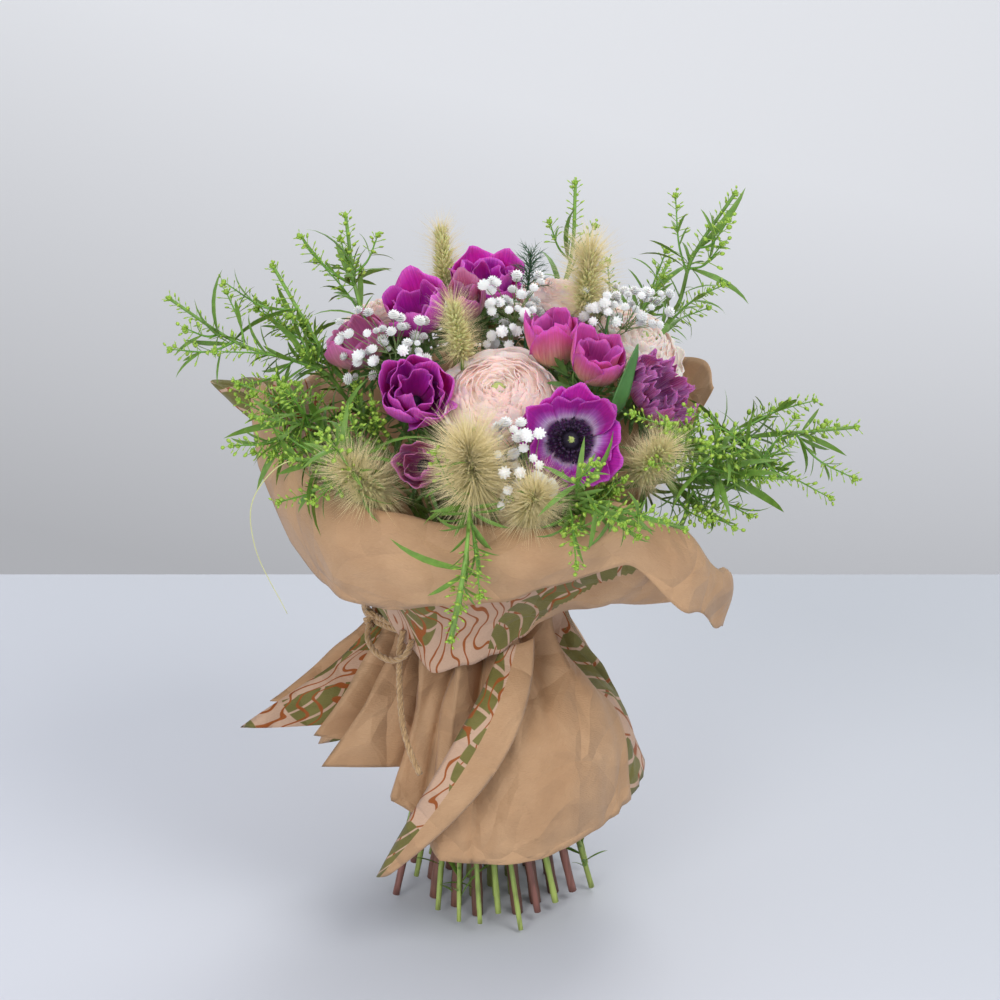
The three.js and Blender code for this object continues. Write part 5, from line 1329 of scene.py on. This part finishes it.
for n, one in enumerate(ranunculus):
    meshes = ranunculus_meshes(one, SEED["ranunculus"] + n)
    piece(f"ranunculus_{one.name}_bloom", meshes, f"ranunculus_{one.name}_petals")


# ---------------------------------------------------------------- stems and leaves
def broad_leaf(shape, one, up, tip, width, bow):
    """A broad leaf from some way up a stem to its tip, bowed out through a point."""
    base, tip = smooth(one.path, 40)[int(up * 39)], np.array(tip, float)
    outward = unit(tip * (1, 1, 0))
    mid = (base + tip) / 2 + 3 * outward if bow is None else np.array(bow, float)
    across = unit(np.cross(unit(tip - base), unit(mid * (1, 1, 0))))
    line = smooth([base, (base + mid) / 2, mid, (mid + tip) / 2, tip], 18)
    t, s, uv = over_sheet(18, 9)
    half = width * np.interp(t, [0, 0.25, 0.5, 0.8, 0.94, 1], [0.1, 0.3, 0.5, 0.46, 0.28, 0.06])
    lift = 1.6 * s**2 * half / width + 0.5 * np.sin(t * 9 + s)
    co = line[:, None] + across * (s * half)[..., None] + outward * lift[..., None]
    shape.grid(co, uv)


stems, leaves = Shape("green stem"), Shape("broad")
for one in ranunculus:
    stem_tube(stems, one, FOOT_R, NECK_R, 2.3, 10, 0.5 + 0.05 * one.place.real)
for name, *leaf in BROAD_LEAVES:
    broad_leaf(leaves, next(p for p in ranunculus if p.name == name), *leaf)
piece("ranunculus_stalks", [stems.mesh("stalks"), sheeted(leaves, "broad", BROAD_LEAF)], "ranunculus_stems")


def side_of(one):
    """The side of the sheaf that a plant's stem stands on."""
    i, j = one.place.real, one.place.imag
    if abs(i) > abs(j):
        return "right" if i > 0 else "left"
    return "back" if j > 0 else "front"


def ruff_lines(one, seed):
    """Lines out from below the bloom, along which the cut lobes of its leaves grow."""
    x, y, z = head_axes(one)
    rng = np.random.default_rng(seed)
    seat = one.head_foot - 8 * z
    for n in range(RUFF_LEAVES):
        a = FULL * (n + 0.4 * rng.random()) / RUFF_LEAVES
        out = swung(a, x, y)
        long = rng.uniform(12, 20)
        yield smooth([seat, seat + out * long * 0.5 + z * 1.5, seat + out * long + z * rng.uniform(1, 7)], 8)


for side in ("front", "left", "back", "right"):
    stems, lines = Shape("red stem"), []
    for n, one in enumerate(anemones):
        if side_of(one) == side:
            stem_tube(stems, one, FOOT_R, NECK_R, 2.0, 10, 0.5 + 0.08 * one.place.imag)
            lines += ruff_lines(one, SEED["ruff"] + n)
    lobes = sprouts("ruff", lines, "lobe", 7, 0.0021, (0.010, 0.013), (0.9, 0.25), Start=0.1, Lean_spread=0.3)
    piece(f"anemone_stalks_{side}", [stems.mesh("stalks"), lobes], f"anemone_stems_{side}")


# ---------------------------------------------------------------- grass and fern
def head_line(one, rise=0.0):
    """The axis of a head: out of its stem, and curving upwards by the given share."""
    a = one.head_foot - one.end * 2
    b = a + one.end * one.length * 0.3
    return smooth([a, b, b + unit(one.end + rise * np.array([0, 0.15, 0.9])) * one.length * 0.56], 30)


for n, one in enumerate(grasses):
    shape = thin_stem(one, n, "spikelet")
    line = head_line(one, one.rise)
    shape.tube(line, 2.4 * np.sin(np.linspace(0.35, 3.0, 30)) + 0.2, 7, look=1)
    reach, long = one.reach * MM, length_of(line) * MM
    bristles = sprouts("bristles", [line], "bristle", SEED["bristles"] + n, long / one.bristles,
                       (reach, reach * 1.15), (1.45, 0.3), Size_spread=0.4, Lean_spread=0.4, Turn_spread=1.5)
    seeds = sprouts("spikelets", [line], "spikelet", SEED["spikelets"] + n, long / 170, (0.0092, 0.0085), (1.1, 0.4))
    if one.name == "grass_left":
        # One long awn that has come loose and hangs outside the collar
        awn = smooth([(-82, -86, 300), (-112, -96, 318), (-133, -97, 296), (-133, -98, 268), (-116, -98, 227)], 40)
        shape.tube(awn, np.linspace(0.4, 0.2, 40), 5, look=1)
    piece(f"{one.name}_plume", [shape.mesh("stalk"), bristles, seeds], one.name)

for n, one in enumerate(ferns):
    shape = Shape("fern")
    stem_tube(shape, one, 1.8, 1.4, 0.8, 7)
    line = head_line(one)
    shape.tube(line, np.linspace(0.8, 0.3, 30), 6, 0.4)
    twigs = [line]
    along, side, up = frames(line)
    for k in range(FERN_TWIGS):
        at = 2 + k
        way = swung(1.2 - 0.6 * k / FERN_TWIGS, along[at], swung(k * GOLDEN, side[at], up[at]))
        end = line[at] + way * one.reach * (1 - 0.35 * k / FERN_TWIGS)
        twigs.append(smooth([line[at], (line[at] + end) / 2 + along[at] * 1.2, end], 10))
        shape.tube(twigs[-1], 0.28, 4, 0.4)
    needles = sprouts("needles", twigs, "needle", SEED["needles"] + n, 0.0009, (0.0065, 0.005), (0.85, 0.4))
    piece(f"{one.name}_sprig", [shape.mesh("stalk"), needles], one.name)


# ---------------------------------------------------------------- pennycress
def side_shoots_of(one, rng, upper):
    """The side shoots of the table, then more that leave the stem aslant and turn back up along it."""
    found = []
    for k, tip in enumerate(one.sides):
        base = upper[int((0.34 + 0.12 * k) * 49)]
        found.append(smooth([base, (base + np.array(tip)) / 2 + (0, 0, 4), tip], 16))
    along, side, up = frames(upper)
    wanted, tries = len(found) + one.branches, 0
    while len(found) < wanted and tries < 90:
        tries += 1
        at = int(rng.uniform(0.0, 0.78) * 49)
        a = rng.uniform(0, FULL)
        out = swung(a, side[at], up[at])
        long, lift = rng.uniform(20, 44), rng.uniform(0, 8)
        base, way = upper[at], unit(along[at] * 0.55 + out * 0.85)
        tip = base + way * long + along[at] * long * 0.25 + np.array([0, 0, lift])
        line = smooth([base, base + way * long * 0.5, tip], 14)
        if not any(in_a_head(p, 2) for p in line[4:]):
            found.append(line)
    return found


for n, one in enumerate(pennycress):
    rng = np.random.default_rng(SEED["pennycress"] + n)
    shape = thin_stem(one, 20 + n, "sprig")
    upper = smooth(one.path[RUN_STEPS - 2 :], 50)
    leafy, podded = [upper[4:32]], [upper[30:]]
    for line in side_shoots_of(one, rng, upper):
        shape.tube(line, np.linspace(0.85, 0.35, len(line)), 5, look=1)
        leafy.append(line[1 : len(line) // 2 + 1])
        podded.append(line[len(line) // 2 - 1 :])
    if n % 3 == 0:
        leafy.append(one.line[2:7])
    tips = [[line[-1] - unit(line[-1] - line[-2]) * 1.5, line[-1]] for line in podded]
    apart = one.apart * MM
    grows = [
        sprouts("leaves", leafy, "leaf", SEED["leaves"] + n, apart, (0.020, 0.014), (0.95, 0.7), Size_spread=0.4,
                Lean_spread=0.4),
        sprouts("curled leaves", leafy, "curled leaf", SEED["curled leaves"] + n, apart * 2.2, (0.030, 0.020),
                (0.8, 0.5), Size_spread=0.35, Lean_spread=0.45),
        sprouts("pods", podded, "pod", SEED["pods"] + n, 0.0014, (0.0088, 0.0055), (1.3, 0.8), Start=0.05),
        sprouts("buds", tips, "bud", SEED["buds"] + n, 0.00012, (0.003, 0.0022), (1.1, 0.3), Lean_spread=0.3),
    ]
    piece(f"pennycress_{one.name}_shoot", [shape.mesh("stalk"), *grows], f"pennycress_{one.name}")


# ---------------------------------------------------------------- gypsophila
for n, one in enumerate(gypsophila):
    rng = np.random.default_rng(SEED["gypsophila"] + n)
    shape = thin_stem(one, 40 + n, "thread")
    fork, middle = one.foot, np.array(one.at, float)
    twigs = []
    for k in range(SPRAY_TWIGS):
        end = fork + (middle - fork) * 0.55 + rng.uniform(-0.6, 0.6, 3) * one.half
        shape.tube(smooth([fork, (fork + end) / 2 + (0, 0, 1.5), end], 8), np.linspace(0.5, 0.35, 8), 5, look=1)
        twigs.append(end)
    lines, tries = [], 0
    while len(lines) < FLORETS and tries < 900:
        tries += 1
        at = middle + rng.uniform(-1.15, 1.15, 3) * one.half
        if in_a_head(at, 1.5) or any(np.linalg.norm(at - line[-1]) < 4.4 for line in lines):
            continue
        near = min(twigs, key=lambda p: np.linalg.norm(p - at))
        shape.tube(smooth([near, (near + at) / 2 + rng.uniform(-1, 1, 3), at], 6), 0.22, 4, look=1)
        way = unit(unit(at - near) + unit(at - fork) + (0, -0.5, 0.3))
        lines.append([at, at + way * 0.1])
    florets = sprouts("florets", lines, "floret", SEED["florets"] + n, 0.01, (0.0062, 0.0062), (0.0, 0.0),
                      Size_spread=0.36, Lean_spread=0.3)
    piece(f"gypsophila_{one.name}_spray", [shape.mesh("stalk"), florets], f"gypsophila_{one.name}")


# ---------------------------------------------------------------- table and wall
for part in PARTS.values():
    bpy.data.objects.remove(part)

# The stage: corners, then the tone at each end of a fade, the way it runs and where it starts and ends. The fades are
# painted light and shade: the table is painted darker towards its back and right, and the wall painted lighter
# towards its top and right
for name, corners, low, high, way, start, end in (
    ("pale_table", [(-5, -5, -0.0002), (5, -5, -0.0002), (5, 0.535, -0.0002), (-5, 0.535, -0.0002)],
     "bcc0c6", "d1d4dc", (0.8, 1.0, 0.0), 0.65, -0.25),
    ("pale_wall", [(-6, 2.6, -3), (6, 2.6, -3), (6, 2.6, 5), (-6, 2.6, 5)],
     "d3d2d1", "ffffff", (0.26, 0.0, 1.0), -0.95, 0.0),
):
    mesh = bpy.data.meshes.new(name)
    mesh.from_pydata(corners, [], [(0, 1, 2, 3)])
    finish, t, surface = material(name, 0.7)
    far = t.put("VectorMath", {0: t.place(), 1: way}, "Value", operation="DOT_PRODUCT")
    t.join(t.blend(t.remap(far, start, end), low, high), surface["Base Color"])
    mesh.materials.append(finish)
    add(name, mesh)
